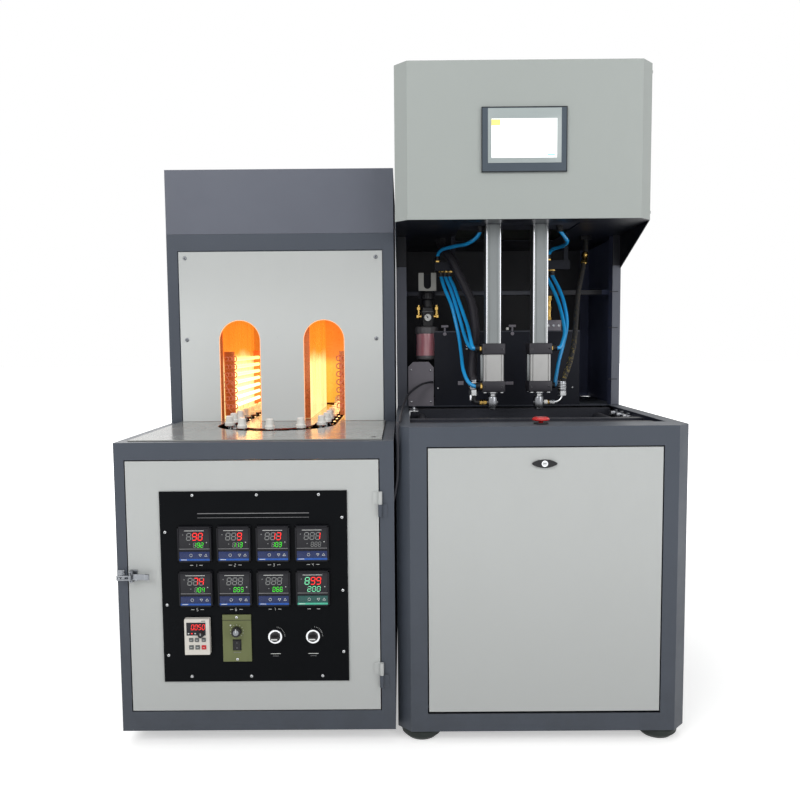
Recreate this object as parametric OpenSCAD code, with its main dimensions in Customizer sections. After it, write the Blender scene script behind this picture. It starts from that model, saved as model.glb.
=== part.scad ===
/* [Cabinets] */
// Width of the preform heater cabinet
heater_w = 600; // [560:1:700]
// Depth of the preform heater cabinet
heater_d = 1100; // [1080:1:1200]
// Height of the heater table above the floor
table_z = 674; // [660:1:720]
// Height of the heater feet
heater_foot_h = 33; // [20:1:45]
// Width of the blowing unit
blower_w = 635; // [620:1:720]
// Depth of the blowing unit
blower_d = 900; // [860:1:1000]
// Height of the blowing unit rim above the floor
rim_z = 700; // [695:1:740]
// Height of the blowing unit feet
blower_foot_h = 27; // [18:1:40]
// Gap between the two cabinets
cabinets_gap = 5; // [2:1:20]
// Thickness of the cabinet sheets
sheet = 3; // [2:0.5:4]
// Bevel on the upright edges of the blowing unit
edge_bevel = 29; // [15:1:35]

/* [Head] */
// Height of the underside of the head above the floor
head_z = 1180; // [1170:1:1230]
// Height of the head
head_h = 380; // [320:1:440]
// Distance of the head front behind the cabinet front
head_set_back = 274; // [240:1:300]
// Distance of the column front behind the cabinet front
column_set_back = 547; // [530:1:580]
// Bevel on the upright front edges of the head
head_bevel = 31; // [15:1:40]
// Width of the touch panel
screen_w = 208; // [180:1:240]
// Height of the touch panel
screen_h = 155; // [130:1:180]

/* [Oven] */
// Distance of the oven front behind the cabinet front
oven_set_back = 408; // [400:1:430]
// Height of the seam below the oven cap, above the table
oven_seam_h = 496; // [480:1:520]
// Height of the oven cap
oven_cap_h = 167; // [140:1:200]
// Height of the pale front panel
oven_panel_h = 450; // [420:1:465]
// Width of each arch in the front panel
arch_w = 109; // [100:1:116]
// Height of each arch
arch_h = 270; // [240:1:300]
// Distance of each arch from the middle of the oven
arch_x = 112; // [108:1:118]
// Number of lamp rows on each side
lamp_rows = 7; // [4:1:9]
// Pitch of the lamp rows
lamp_pitch = 22; // [18:1:24]
// Diameter of the lamps
lamp_d = 10; // [8:1:12]

/* [Preform track] */
// Pitch of the conveyor chain
chain_pitch = 38.1; // [37:0.1:39]
// Room for each straight run of the chain, which takes a whole, odd number of pitches
straight_room = 590; // [440:10:590]
// Width of the slot in the table
slot_w = 56; // [50:1:60]
// Diameter of the mandrel bases
mandrel_d = 20; // [16:1:24]
// Height of the white mandrel tips above the table
tip_h = 27; // [20:1:34]
// Diameter of the drive shafts
shaft_d = 25; // [20:1:30]

/* [Control door] */
// Width of the control door
door_w = 543; // [520:1:550]
// Height of the control door
door_h = 552; // [530:1:556]
// Distance of the door middle from the heater middle
door_x = -4.5; // [-6:0.5:-2]
// Height of the lower edge of the door
door_z = 79; // [72:1:82]
// Depth of the folded door edge
door_t = 18; // [14:1:24]
// Gap around the door
door_gap = 2.5; // [2:0.5:4]
// Width of the black control panel
panel_w = 403; // [380:1:430]
// Height of the black control panel
panel_h = 420; // [400:1:440]
// Thickness of the black control panel
panel_t = 3; // [2:0.5:5]
// Diameter of the hinge barrels
hinge_d = 9; // [7:0.5:10]
// Diameter of the hinge pins
hinge_pin_d = 5; // [3:0.5:5.5]
// Width of each temperature controller
controller_w = 72; // [66:1:76]
// Height of each temperature controller
controller_h = 77; // [70:1:82]
// Pitch of the controllers across the panel
controller_pitch_x = 84; // [82:1:90]
// Pitch of the controllers down the panel
controller_pitch_z = 98; // [94:1:102]

/* [Service door] */
// Width of the service door
service_w = 503; // [480:1:520]
// Height of the service door
service_h = 582; // [560:1:590]
// Height of the lower edge of the service door
service_z = 72; // [66:1:78]
// Depth of the folded service door edge
service_t = 16; // [12:1:20]
// Diameter of the service door pivots
service_pin_d = 8; // [6:0.5:10]

/* [Blowing stations] */
// Distance between the two stations
station_pitch = 122; // [116:1:140]
// Distance of the station line behind the cabinet front
station_set_back = 390; // [384:1:396]
// Side of the square seal cylinders
seal_w = 60; // [58:1:70]
// Side of the square stretch cylinders
stretch_w = 41; // [39:1:46]
// Travel of the sealing nozzles
nozzle_stroke = 50; // [30:1:52]
// Diameter of the sealing nozzles
nozzle_d = 25; // [22:1:28]
// Travel of the stretch rods
stretch_stroke = 230; // [180:1:235]
// Diameter of the stretch rods
stretch_rod_d = 10; // [8:1:12]

/* [Mould clamp] */
// Opening travel of each mould half
clamp_stroke = 60; // [40:1:62]
// Width of the mould
mould_w = 300; // [280:1:340]
// Height of the mould
mould_h = 260; // [240:1:280]
// Thickness of each mould half
mould_t = 70; // [60:1:74]
// Thickness of the platens
platen_t = 30; // [22:1:34]
// Diameter of the tie bars
tie_bar_d = 30; // [24:1:36]
// Distance of the tie bars from the cabinet's sides
tie_bar_inset = 67.5; // [67.5:0.5:85]
// Diameter of the bottle cavity
bottle_d = 64; // [50:1:90]
// Diameter of the clamp cylinders
clamp_cyl_d = 110; // [90:1:125]

/* [Small parts] */
// Diameter of the emergency stop button
stop_d = 38; // [30:1:45]
// Travel of the emergency stop button
stop_travel = 4; // [3:0.5:6]
// Diameter of the selector switches
selector_d = 30; // [26:1:32]
// Diameter of the filter bowl
bowl_d = 62; // [50:1:66]
// Diameter of the blue air tubes
tube_d = 10; // [8:1:12]
// Diameter of the left feed hose
hose_d = 20; // [16:1:22]
// Diameter of the right feed hose
thin_hose_d = 14; // [12:1:20]
// Diameter of the link cable between the cabinets
link_d = 6; // [5:1:9]
// Running clearance between moving parts
clearance = 0.3; // [0.2:0.05:0.4]

/* [Hidden] */
$fn = 48;
slate = [0.29, 0.32, 0.35];
pale = [0.76, 0.78, 0.77];
steel = [0.72, 0.73, 0.75];
black = [0.08, 0.08, 0.10];
white = [0.93, 0.93, 0.91];
machine_w = heater_w + cabinets_gap + blower_w;
heater_x = heater_w / 2 - machine_w / 2;
blower_x = machine_w / 2 - blower_w / 2;
front_y = -heater_d / 2;
heater_back_y = heater_d / 2;
blower_back_y = front_y + blower_d;
eps = 1;

// Heater deck and table
table_t = 3;
table_side = 25;
table_front = 18;
deck_lip = 18;
deck_side = table_side + deck_lip;
deck_z = table_z - table_t;

// Preform track
track_teeth = 20;
straight_links = 2 * floor((straight_room / chain_pitch - 1) / 2) + 1;
track_r = chain_pitch / (2 * sin(180 / track_teeth));
track_front_y = front_y + 325;
track_rear_y = track_front_y + straight_links * chain_pitch;
track_links = track_teeth + 2 * straight_links;
chain_plate_t = 2.5;
roller_d = 19;
roller_h = 10;
chain_h = roller_h + 4 * chain_plate_t;
chain_z = table_z - 36;
roller_z = chain_z + 2 * chain_plate_t;
mandrel_foot_z = chain_z + chain_h;
mandrel_top_z = table_z + 2;
sprocket_t = 8;
sprocket_z = chain_z + chain_h / 2 - sprocket_t / 2;
beam_h = 30;
beam_w = 60;
beam_z = table_z - 114;
bearing_h = 26;
bearing_d = 58;
post_d = 24;

// Oven
oven_y = front_y + oven_set_back;
oven_seam_z = table_z + oven_seam_h;
oven_top_z = oven_seam_z + oven_cap_h;
oven_margin = 28.5;
oven_panel_w = heater_w - 2 * oven_margin - 5;
lamp_x = track_r + 36;
lamp_y = oven_y + 87;
lamp_len = 400;
lamp_z = table_z + 32;
holder_t = 8;
reflector_t = 1.5;
reflector_x = lamp_x + 16;
reflector_h = 330;
inner_reflector_x = track_r - 36;
fan_d = 170;
fan_z = oven_seam_z + oven_cap_h / 2;
fan_hub_d = 30;
fan_hub_reach = 40;

// Control door
door_x0 = door_x - door_w / 2;
door_x1 = door_x + door_w / 2;
door_mid_x = heater_x + door_x;
panel_x = heater_x - 2.5;
panel_z = door_z + 66.5;
panel_y = front_y - panel_t;
door_sheet = 2;
hinge_x = heater_x + door_x1 + door_gap + 1;
hinge_y = front_y - hinge_d / 2 - 0.5;
hinge_leaf_h = 27;
hinge_zs = [door_z + 52, door_z + 429];
controller_x = panel_x - 1.5 * controller_pitch_x;
controller_z = panel_z + 306.5;
controller_bezel = 8;
controller_body = 66;
controller_depth = 60;
keypad_w = 54;
keypad_h = 79;
keypad_x = panel_x - 124.8;
keypad_z = panel_z + 104.5;
keypad_t = 12;
keypad_knob_x = keypad_x + 9.5;
keypad_knob_z = keypad_z + 6.5;
keypad_knob_d = 13;
speed_w = 62;
speed_h = 104;
speed_x = panel_x - 40.3;
speed_z = panel_z + 98;
speed_t = 4;
speed_knob_d = 22;
speed_knob_dz = 16;
rocker_dz = -14.5;
rocker_w = 14;
rocker_h = 20;
selector_xs = [panel_x + 42.5, panel_x + 124.5];
selector_z = panel_z + 101;
selector_t = 5;
selector_core_d = selector_d - 9;
shaft_hole = 6;

// Latch on the left edge of the control door
latch_z = door_z + 304;
latch_x = heater_x + door_x0 + 10;
latch_y = front_y - 12;
latch_pin_d = 4;
latch_h = 24;
lever_len = 40;
latch_arm = 9;
latch_ear_t = 3;
bail_len = 27;
bail_wire = 3;
bail_hub_d = latch_pin_d + 3;
keeper_play = 1.5;
// The fan cowl reaches as far behind as the latch does in front
cowl_t = front_y - latch_y + latch_arm + bail_hub_d / 2;

// Service door
service_x0 = blower_x + 2.5 - service_w / 2;
service_x1 = service_x0 + service_w;
service_gap = 3;
service_low_gap = 5.5;
service_pivot_y = front_y + 10;
service_pivot_z = service_z + 8;
pivot_tab_t = 6;
lock_z = service_z + service_h - 34;
lock_w = 50;
lock_h = 19;

// Pit and column
pit_side = 32;
pit_front = 80;
pit_lip = 26;
pit_lip_gap = 60;
column_y = front_y + column_set_back;
column_left = 29;
column_right = 23;
column_post = 40;
head_y = front_y + head_set_back;
gusset_drop = 93;

// Blowing stations
station_x = blower_x - 3;
station_xs = [station_x - station_pitch / 2, station_x + station_pitch / 2];
station_y = front_y + station_set_back;
seal_low_z = rim_z + 50;
seal_cap_low = 29;
seal_barrel = nozzle_stroke + 19;
seal_cap_top = 29;
seal_top_z = seal_low_z + seal_cap_low + seal_barrel + seal_cap_top;
seal_bore = 50;
seal_piston_t = 15;
air_block = 42;
air_block_h = 14;
nozzle_tip_z = rim_z + 2;
nozzle_piston_z = seal_low_z + seal_cap_low + seal_barrel - seal_piston_t - 1;
stretch_bore = 32;
stretch_top_z = head_z + sheet;
stretch_piston_t = 14;
stretch_piston_z = stretch_top_z - 12 - stretch_piston_t - 1;
stretch_bore_z = stretch_piston_z - stretch_stroke - 1;
carrier_t = 20;
carrier_w = 340;
carrier_d = 150;
head_hole_w = 300;
head_hole_d = 330;

// Mould clamp
mould_z = rim_z - 55 - mould_h;
tie_bar_x = blower_w / 2 - tie_bar_inset;
platen_w = 2 * tie_bar_x + 70;
platen_z = rim_z - 388;
platen_top_z = rim_z - 7;
tie_bar_zs = [platen_z + 32, platen_top_z - 28];
closed_gap = 0.3;
platen_y = closed_gap / 2 + mould_t + clamp_stroke;
end_plate_y = 220;
end_plate_t = 30;
bed_z = rim_z - 510;
bed_t = 15;
clamp_rod_d = 32;
clamp_cyl_len = 90;
clamp_wall = 4;
clamp_rod_z = mould_z + mould_h / 2;
clamp_piston_t = 15;
neck_d = 28;
bottle_h = 215;
shoulder_h = 34;
neck_h = 20;

// Emergency stop
stop_y = front_y + pit_front / 2 + 5;
stop_base_h = 3;
stop_stem_d = 16;
stop_head_h = 9;

// Filter regulator on the left of the working bay
filter_x = blower_x - 228;
filter_y = column_y + 50;
filter_z = rim_z + 227;
filter_w = 52;
filter_h = 79;
bowl_h = 106;
rail_z = rim_z + 318;
rail_h = 14;
rail_d = 14;
guard_w = 415;
guard_h = 212;
guard_t = 4;

// Tube ends at the sides of the seal cylinders, from the middle of the blowing unit
port_left = station_xs[0] - blower_x - seal_w / 2 - 0.6;
port_right = station_xs[1] - blower_x + seal_w / 2 + 0.6;

// Routes of the tubes, hoses and the link cable, measured from the middle of
// the blowing unit, the cabinet front and the rim
tube_routes = [
    [[-95, 395, 482.4], [-95, 395, 472], [-104, 412, 456], [-126, 440, 444], [-156, 490, 444],
        [-190, 540, 440], [-200, 563, 424], [-200, 563, 408.6]],
    [[-190, 563, 383.4], [-189, 560, 366], [-180, 540, 330], [-164, 514, 286], [-154, 494, 240],
        [-146, 474, 196], [-142, 444, 150], [-140, 404, 108], [-130, 374, 78], [-114, 362, 66],
        [port_left, 362, 66]],
    [[-178, 563, 383.4], [-177, 560, 366], [-164, 536, 330], [-152, 512, 286], [-142, 490, 246],
        [-134, 466, 210], [-128, 434, 182], [-120, 408, 167], [-112, 398, 164], [port_left, 398, 164]],
    [[-166, 563, 383.4], [-165, 560, 366], [-152, 532, 330], [-141, 508, 290], [-130, 478, 250],
        [-124, 444, 222], [-121, 406, 192], [-118, 384, 170], [-110, 378, 164], [port_left, 378, 164]],
    [[112, 395, 482.4], [112, 395, 472], [128, 414, 458], [143, 444, 448], [140, 486, 442],
        [120, 526, 438], [112, 541, 424], [112, 541, 408.6]],
    [[104, 541, 383.4], [105, 540, 366], [120, 522, 330], [133, 500, 286], [139, 472, 240],
        [137, 442, 204], [124, 408, 178], [116, 392, 167], [107, 386, 164], [port_right, 386, 164]],
    [[122, 541, 383.4], [123, 540, 366], [138, 524, 330], [149, 504, 286], [152, 480, 230],
        [138, 458, 176], [122, 440, 130], [110, 420, 84], [105, 412, 64], [port_right, 412, 64]]
];
hose_routes = [
    [[-190, 600, 479.4], [-190, 600, 475], [-190, 600, 469], [-186, 590, 455],
        [-174, 564, 436], [-158, 534, 408], [-142, 520, 370],
        [-124, 508, 330], [-108, 492, 286], [-102, 470, 230], [-104, 450, 176], [-112, 436, 128],
        [-116, 412, 94], [-114, 392, 78], [-114, 390, 62.8]],
    [[222, 566, 479.4], [222, 566, 475], [222, 566, 467], [220, 558, 440],
        [208, 540, 384], [190, 512, 320], [178, 484, 250],
        [166, 454, 180], [148, 424, 126], [128, 396, 88], [120, 390, 70], [120, 390, 54.8]]
];
link_route = [
    [-217, 549.4, 69], [-217, 544, 69], [-224, 534, 69], [-244, 521, 65], [-266, 504, 54], [-284, 472, 40],
    [-296, 416, 24], [-303, 330, 11], [-306, 200, 7], [-308, 62, 7], [-311, 34, 7], [-313, 18, 2],
    [-313.5, 12, -22], [-313.5, 11, -70], [-316, 12, -120], [-330, 14, -190]
];

function unit(v) = v / norm(v);
function level(n, t) = unit(n - (n * t) * t);
function curve_point(a, b, c, d, s) =
    0.5 * (2 * b + (c - a) * s + (2 * a - 5 * b + 4 * c - d) * s * s + (3 * b - a - 3 * c + d) * s * s * s);
function smooth(p, steps) = let (last = len(p) - 1) [
    for (i = [0:last - 1], j = [0:steps - 1])
        curve_point(p[max(i - 1, 0)], p[i], p[i + 1], p[min(i + 2, last)], j / steps),
    p[last]
];
function heading(p, i) = unit(p[min(i + 1, len(p) - 1)] - p[max(i - 1, 0)]);
function normals(p, i, n) = i >= len(p) ? []
    : let (m = level(n, heading(p, i))) concat([m], normals(p, i + 1, m));
// Place of chain pin k, counted from the foremost one
function chain_pin(k) =
    let (quarter = track_teeth / 4, step = 360 / track_teeth, run = straight_links)
    k <= quarter ? [track_r * sin(k * step), track_front_y - track_r * cos(k * step)]
    : k <= quarter + run ? [track_r, track_front_y + (k - quarter) * chain_pitch]
    : k <= 3 * quarter + run ? let (a = (k - quarter - run) * step)
        [track_r * cos(a), track_rear_y + track_r * sin(a)]
    : k <= 3 * quarter + 2 * run ? [-track_r, track_rear_y - (k - 3 * quarter - run) * chain_pitch]
    : let (a = (k - 3 * quarter - 2 * run) * step) [-track_r * cos(a), track_front_y - track_r * sin(a)];

module block(low, high) {
    translate(low) cube(high - low);
}

module rod_x(x0, x1, y, z, d) {
    translate([x0, y, z]) rotate([0, 90, 0]) cylinder(h = x1 - x0, d = d);
}

module rod_y(y0, y1, x, z, d) {
    translate([x, y0, z]) rotate([-90, 0, 0]) cylinder(h = y1 - y0, d = d);
}

module rod_z(z0, z1, x, y, d) {
    translate([x, y, z0]) cylinder(h = z1 - z0, d = d);
}

// Plan of a box with bevelled upright edges, drawn about its middle in x
module bevelled_plan(w, y0, y1, front, back) {
    polygon([
        [-w / 2, y0 + front], [-w / 2 + front, y0], [w / 2 - front, y0], [w / 2, y0 + front],
        [w / 2, y1 - back], [w / 2 - back, y1], [-w / 2 + back, y1], [-w / 2, y1 - back]
    ]);
}

// Plan of a loop with two round ends, r from its centre line
module loop_plan(r) {
    translate([0, track_front_y]) circle(r = r, $fn = 96);
    translate([0, track_rear_y]) circle(r = r, $fn = 96);
    translate([-r, track_front_y]) square([2 * r, track_rear_y - track_front_y]);
}

// Round tube along a smooth curve through the given points
module tube_along(route, d, sides, steps) {
    path = smooth([for (p = route) p + [blower_x, front_y, rim_z]], steps);
    ahead = normals(path, 0, [1, 0.2, 0.1]);
    last = len(path) - 1;
    rings = [for (i = [0:last], j = [0:sides - 1])
        let (side = cross(heading(path, i), ahead[i]))
            path[i] + d / 2 * (cos(360 * j / sides) * ahead[i] + sin(360 * j / sides) * side)];
    walls = [for (i = [0:last - 1], j = [0:sides - 1], half = [0, 1])
        let (a = i * sides + j, b = i * sides + (j + 1) % sides)
            half == 0 ? [a, a + sides, b] : [b, a + sides, b + sides]];
    polyhedron(
        points = rings,
        faces = concat(
            [[for (j = [0:sides - 1]) j]],
            walls,
            [[for (j = [0:sides - 1]) last * sides + sides - 1 - j]]
        )
    );
}

module feet(x0, x1, y0, y1, d, h) {
    for (x = [x0, x1], y = [y0, y1]) {
        translate([x, y, 0]) rotate_extrude() polygon([
            [0, 0], [d / 2 - 12, 0], [d / 2 - 2, h * 0.35], [d / 2, h * 0.75], [d / 2 - 3, h], [0, h]
        ]);
    }
}

module heater_cabinet() {
    color(slate) translate([heater_x, 0, 0]) {
        difference() {
            block([-heater_w / 2, front_y, heater_foot_h], [heater_w / 2, heater_back_y, deck_z]);
            block(
                [-heater_w / 2 + sheet, front_y + sheet, heater_foot_h + sheet],
                [heater_w / 2 - sheet, heater_back_y - sheet, deck_z - sheet]
            );
            block(
                [door_x0 - door_gap, front_y - eps, door_z - door_gap],
                [door_x1 + door_gap, front_y + sheet + eps, door_z + door_h + door_gap]
            );
            block(
                [-heater_w / 2 + deck_side, front_y + table_front + deck_lip, deck_z - sheet - eps],
                [heater_w / 2 - deck_side, heater_back_y - table_front - deck_lip, deck_z + eps]
            );
            // Vent slots in both sides and in the back
            for (side = [-1, 1], i = [0:7]) {
                block(
                    [side * (heater_w / 2 - sheet / 2) - sheet, 180, 140 + i * 26],
                    [side * (heater_w / 2 - sheet / 2) + sheet, 400, 148 + i * 26]
                );
            }
            for (i = [0:7]) {
                block(
                    [-130, heater_back_y - sheet - eps, 140 + i * 26],
                    [130, heater_back_y + eps, 148 + i * 26]
                );
            }
            // Slot for the link cable, low beside the front bevel of the blowing unit
            block(
                [heater_w / 2 - sheet - eps, front_y + 6, rim_z - 186],
                [heater_w / 2 + eps, front_y + 22, rim_z - 116]
            );
        }
        // Fixed halves of the lift-off door hinges
        for (z = hinge_zs) {
            translate([hinge_x - heater_x, hinge_y, z]) {
                cylinder(h = hinge_leaf_h, d = hinge_d);
                cylinder(h = 2 * hinge_leaf_h - 4, d = hinge_pin_d);
            }
            block(
                [hinge_x - heater_x, front_y - 2.5, z],
                [hinge_x - heater_x + 15, front_y, z + hinge_leaf_h]
            );
            block(
                [hinge_x - heater_x, hinge_y, z],
                [hinge_x - heater_x + hinge_d / 2, front_y, z + hinge_leaf_h]
            );
        }
    }
}

module machine_feet() {
    color(black) {
        feet(
            heater_x - heater_w / 2 + 90, heater_x + heater_w / 2 - 90,
            front_y + 125, heater_back_y - 90, 60, heater_foot_h
        );
        feet(
            blower_x - blower_w / 2 + 53, blower_x + blower_w / 2 - 53,
            front_y + 50, blower_back_y - 60, 92, blower_foot_h
        );
    }
}

module heater_table() {
    color(pale) translate([heater_x, 0, deck_z]) linear_extrude(height = table_t) difference() {
        translate([-heater_w / 2 + table_side, front_y + table_front])
            square([heater_w - 2 * table_side, heater_d - 2 * table_front]);
        loop_plan(track_r + slot_w / 2);
    }
}

module track_island() {
    color(pale) translate([heater_x, 0, 0]) {
        translate([0, 0, deck_z]) linear_extrude(height = table_t) loop_plan(track_r - slot_w / 2);
        for (y = [track_front_y + 160, track_rear_y - 160]) {
            rod_z(beam_z + beam_h, deck_z, 0, y, post_d);
        }
    }
}

// Two cross beams and a long beam that carry the track shafts
module drive_frame() {
    color(steel) translate([heater_x, 0, 0]) difference() {
        union() {
            for (y = [track_front_y, track_rear_y]) {
                block(
                    [-heater_w / 2 + sheet, y - beam_w / 2, beam_z],
                    [heater_w / 2 - sheet, y + beam_w / 2, beam_z + beam_h]
                );
                rod_z(beam_z + beam_h, beam_z + beam_h + bearing_h, 0, y, bearing_d);
            }
            block([-beam_w / 2, track_front_y, beam_z], [beam_w / 2, track_rear_y, beam_z + beam_h]);
        }
        for (y = [track_front_y, track_rear_y]) {
            rod_z(beam_z - eps, beam_z + beam_h + bearing_h + eps, 0, y, shaft_d + 2 * clearance);
        }
    }
}

module link_plate(k, z, w) {
    a = chain_pin(k);
    b = chain_pin(k + 1 == track_links ? 0 : k + 1);
    translate([a[0], a[1], z]) rotate([0, 0, atan2(b[1] - a[1], b[0] - a[0])])
        linear_extrude(height = chain_plate_t) {
            circle(d = w, $fn = 24);
            translate([chain_pitch, 0]) circle(d = w, $fn = 24);
            translate([0, -w * 0.4]) square([chain_pitch, w * 0.8]);
        }
}

module track_chain() {
    color(steel) translate([heater_x, 0, 0]) {
        for (k = [0:track_links - 1]) {
            pin = chain_pin(k);
            // Outer plates on even links and inner plates on odd ones
            outer = k % 2 == 0 ? 0 : chain_plate_t;
            w = k % 2 == 0 ? roller_d - 3 : roller_d - 5;
            rod_z(chain_z, chain_z + chain_h, pin[0], pin[1], 8);
            rod_z(roller_z, roller_z + roller_h, pin[0], pin[1], roller_d);
            link_plate(k, chain_z + outer, w);
            link_plate(k, chain_z + chain_h - chain_plate_t - outer, w);
        }
    }
}

module mandrel_bases() {
    color(steel) translate([heater_x, 0, 0]) for (k = [0:2:track_links - 1]) {
        pin = chain_pin(k);
        translate([pin[0], pin[1], mandrel_foot_z]) rotate_extrude() polygon([
            [0, 0], [mandrel_d / 2, 0], [mandrel_d / 2, 3], [mandrel_d / 2 - 2, 5],
            [mandrel_d / 2 - 2, mandrel_top_z - mandrel_foot_z - 5],
            [mandrel_d / 2, mandrel_top_z - mandrel_foot_z - 3],
            [mandrel_d / 2, mandrel_top_z - mandrel_foot_z], [0, mandrel_top_z - mandrel_foot_z]
        ]);
    }
}

module mandrel_tips() {
    color(white) translate([heater_x, 0, 0]) for (k = [0:2:track_links - 1]) {
        pin = chain_pin(k);
        translate([pin[0], pin[1], mandrel_top_z]) rotate_extrude() polygon([
            [0, 0], [mandrel_d / 2 + 2, 0], [mandrel_d / 2 + 2, 7], [mandrel_d / 2, 9],
            [mandrel_d / 2 - 1, tip_h - 4], [mandrel_d / 2 - 4, tip_h - 2], [0, tip_h - 2]
        ]);
    }
}

module sprocket(y, shaft_low_z) {
    tip = track_r - roller_d / 2 - clearance;
    root = tip - 7;
    tooth = [[-0.42, root], [-0.16, tip], [0.16, tip], [0.42, root]];
    color(steel) translate([heater_x, y, 0]) {
        translate([0, 0, sprocket_z]) linear_extrude(height = sprocket_t) difference() {
            polygon([for (i = [0:track_teeth - 1], q = tooth)
                let (a = 360 * (i + q[0]) / track_teeth) [q[1] * cos(a), q[1] * sin(a)]]);
            for (i = [0:5]) {
                rotate([0, 0, 60 * i]) translate([root * 0.6, 0]) circle(d = root * 0.36);
            }
        }
        rod_z(sprocket_z - 12, sprocket_z + sprocket_t + 6, 0, 0, shaft_d + 20);
        rod_z(shaft_low_z, sprocket_z + sprocket_t + 10, 0, 0, shaft_d);
    }
}

module front_sprocket() {
    sprocket(track_front_y, beam_z - 10);
}

module rear_sprocket() {
    sprocket(track_rear_y, beam_z - 50);
}

// Right-angle gear motor bolted below the rear beam
module gear_motor() {
    color([0.35, 0.42, 0.50]) translate([heater_x, track_rear_y, 0]) difference() {
        union() {
            block([-50, -50, beam_z - 84], [50, 50, beam_z]);
            rod_z(beam_z - 96, beam_z - 84, 0, 0, 80);
            rod_y(-230, -50, 0, beam_z - 44, 84);
            rod_y(-248, -230, 0, beam_z - 44, 76);
            block([42, -190, beam_z - 74], [64, -120, beam_z - 14]);
        }
        rod_z(beam_z - 60, beam_z + eps, 0, 0, shaft_d + 2 * clearance);
    }
}

// Mounting plate with contactors, breakers and relays, on pillars from the back
module electrical_plate() {
    plate_y = heater_back_y - sheet - 40;
    color([0.80, 0.80, 0.78]) translate([heater_x, 0, 0]) {
        block([-220, plate_y - 3, 110], [220, plate_y, 440]);
        for (x = [-200, 200], z = [130, 420]) {
            rod_y(plate_y, heater_back_y - sheet, x, z, 14);
        }
        for (i = [0:5]) {
            block([-200 + i * 48, plate_y - 75, 350], [-160 + i * 48, plate_y - 3, 425]);
        }
        for (i = [0:7]) {
            block([-200 + i * 22, plate_y - 65, 235], [-182 + i * 22, plate_y - 3, 320]);
        }
        block([20, plate_y - 95, 215], [130, plate_y - 3, 325]);
        for (z = [130, 150, 170]) {
            block([-190, plate_y - 40, z], [190, plate_y - 3, z + 12]);
        }
    }
}

module oven_housing() {
    flange = 22;
    color(slate) translate([heater_x, 0, 0]) difference() {
        block([-heater_w / 2, oven_y, deck_z], [heater_w / 2, heater_back_y, oven_seam_z]);
        block(
            [-heater_w / 2 + sheet, oven_y + 2 * sheet, deck_z - eps],
            [heater_w / 2 - sheet, heater_back_y - sheet, oven_seam_z - sheet]
        );
        // Recess for the front panel, with a flange behind it
        block(
            [-heater_w / 2 + oven_margin, oven_y - eps, deck_z - eps],
            [heater_w / 2 - oven_margin, oven_y + sheet, table_z + oven_panel_h + 2.5]
        );
        block(
            [-heater_w / 2 + oven_margin + flange, oven_y - eps, deck_z - eps],
            [heater_w / 2 - oven_margin - flange, oven_y + 2 * sheet + eps, table_z + oven_panel_h - flange]
        );
        // The table passes under the front wall
        block(
            [-heater_w / 2 + table_side, oven_y - eps, deck_z - eps],
            [heater_w / 2 - table_side, oven_y + 2 * sheet + eps, table_z]
        );
        // The upper wall is pierced for the rising hot air
        for (i = [0:8]) {
            block(
                [-200, oven_y + 120 + i * 50, oven_seam_z - sheet - eps],
                [200, oven_y + 132 + i * 50, oven_seam_z + eps]
            );
        }
    }
}

module oven_cap() {
    color(slate) translate([heater_x, 0, 0]) difference() {
        block([-heater_w / 2, oven_y, oven_seam_z], [heater_w / 2, heater_back_y, oven_top_z]);
        block(
            [-heater_w / 2 + sheet, oven_y + sheet, oven_seam_z - eps],
            [heater_w / 2 - sheet, heater_back_y - sheet, oven_top_z - sheet]
        );
        rod_y(heater_back_y - sheet - eps, heater_back_y + eps, 0, fan_z, fan_d - 16);
    }
}

module oven_front_panel() {
    arch_side = arch_h - arch_w / 2;
    color(pale) translate([heater_x, oven_y + sheet, table_z]) rotate([90, 0, 0])
        linear_extrude(height = sheet) difference() {
            translate([-oven_panel_w / 2, clearance]) square([oven_panel_w, oven_panel_h - clearance]);
            for (x = [-arch_x, arch_x]) {
                translate([x, arch_side]) circle(d = arch_w, $fn = 64);
                translate([x - arch_w / 2, -eps]) square([arch_w, arch_side + eps]);
            }
        }
}

// Polished sheets: one beyond each lamp bank, a box between the runs, and a top sheet
module oven_reflectors() {
    y0 = lamp_y - 14;
    y1 = lamp_y + lamp_len + 14;
    top = table_z + reflector_h;
    color([0.85, 0.72, 0.52]) translate([heater_x, 0, 0]) {
        for (side = [-1, 1]) {
            translate([side * (reflector_x + reflector_t / 2), 0, 0])
                block([-reflector_t / 2, y0, table_z], [reflector_t / 2, y1, top]);
            translate([side * (inner_reflector_x - 20 - reflector_t / 2), 0, 0])
                block([-reflector_t / 2, y0, table_z], [reflector_t / 2, y1, top]);
        }
        block([-inner_reflector_x + 20, y0, table_z], [inner_reflector_x - 20, y0 + reflector_t, top]);
        block([-inner_reflector_x + 20, y1 - reflector_t, table_z], [inner_reflector_x - 20, y1, top]);
        block([-reflector_x - reflector_t, y0, top], [reflector_x + reflector_t, y1, top + reflector_t]);
    }
}

module lamp_holders() {
    color([0.55, 0.30, 0.15]) translate([heater_x, 0, 0]) {
        for (side = [-1, 1], y = [lamp_y - holder_t, lamp_y + lamp_len]) {
            translate([side * (lamp_x + 2), 0, 0]) {
                block(
                    [-14, y, table_z + 8],
                    [14, y + holder_t, lamp_z + lamp_rows * lamp_pitch]
                );
            }
        }
    }
}

module heat_lamps() {
    color([1, 0.75, 0.35]) translate([heater_x, 0, 0]) {
        for (side = [-1, 1], i = [0:lamp_rows - 1]) {
            rod_y(lamp_y, lamp_y + lamp_len, side * lamp_x, lamp_z + i * lamp_pitch, lamp_d);
        }
    }
}

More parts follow.
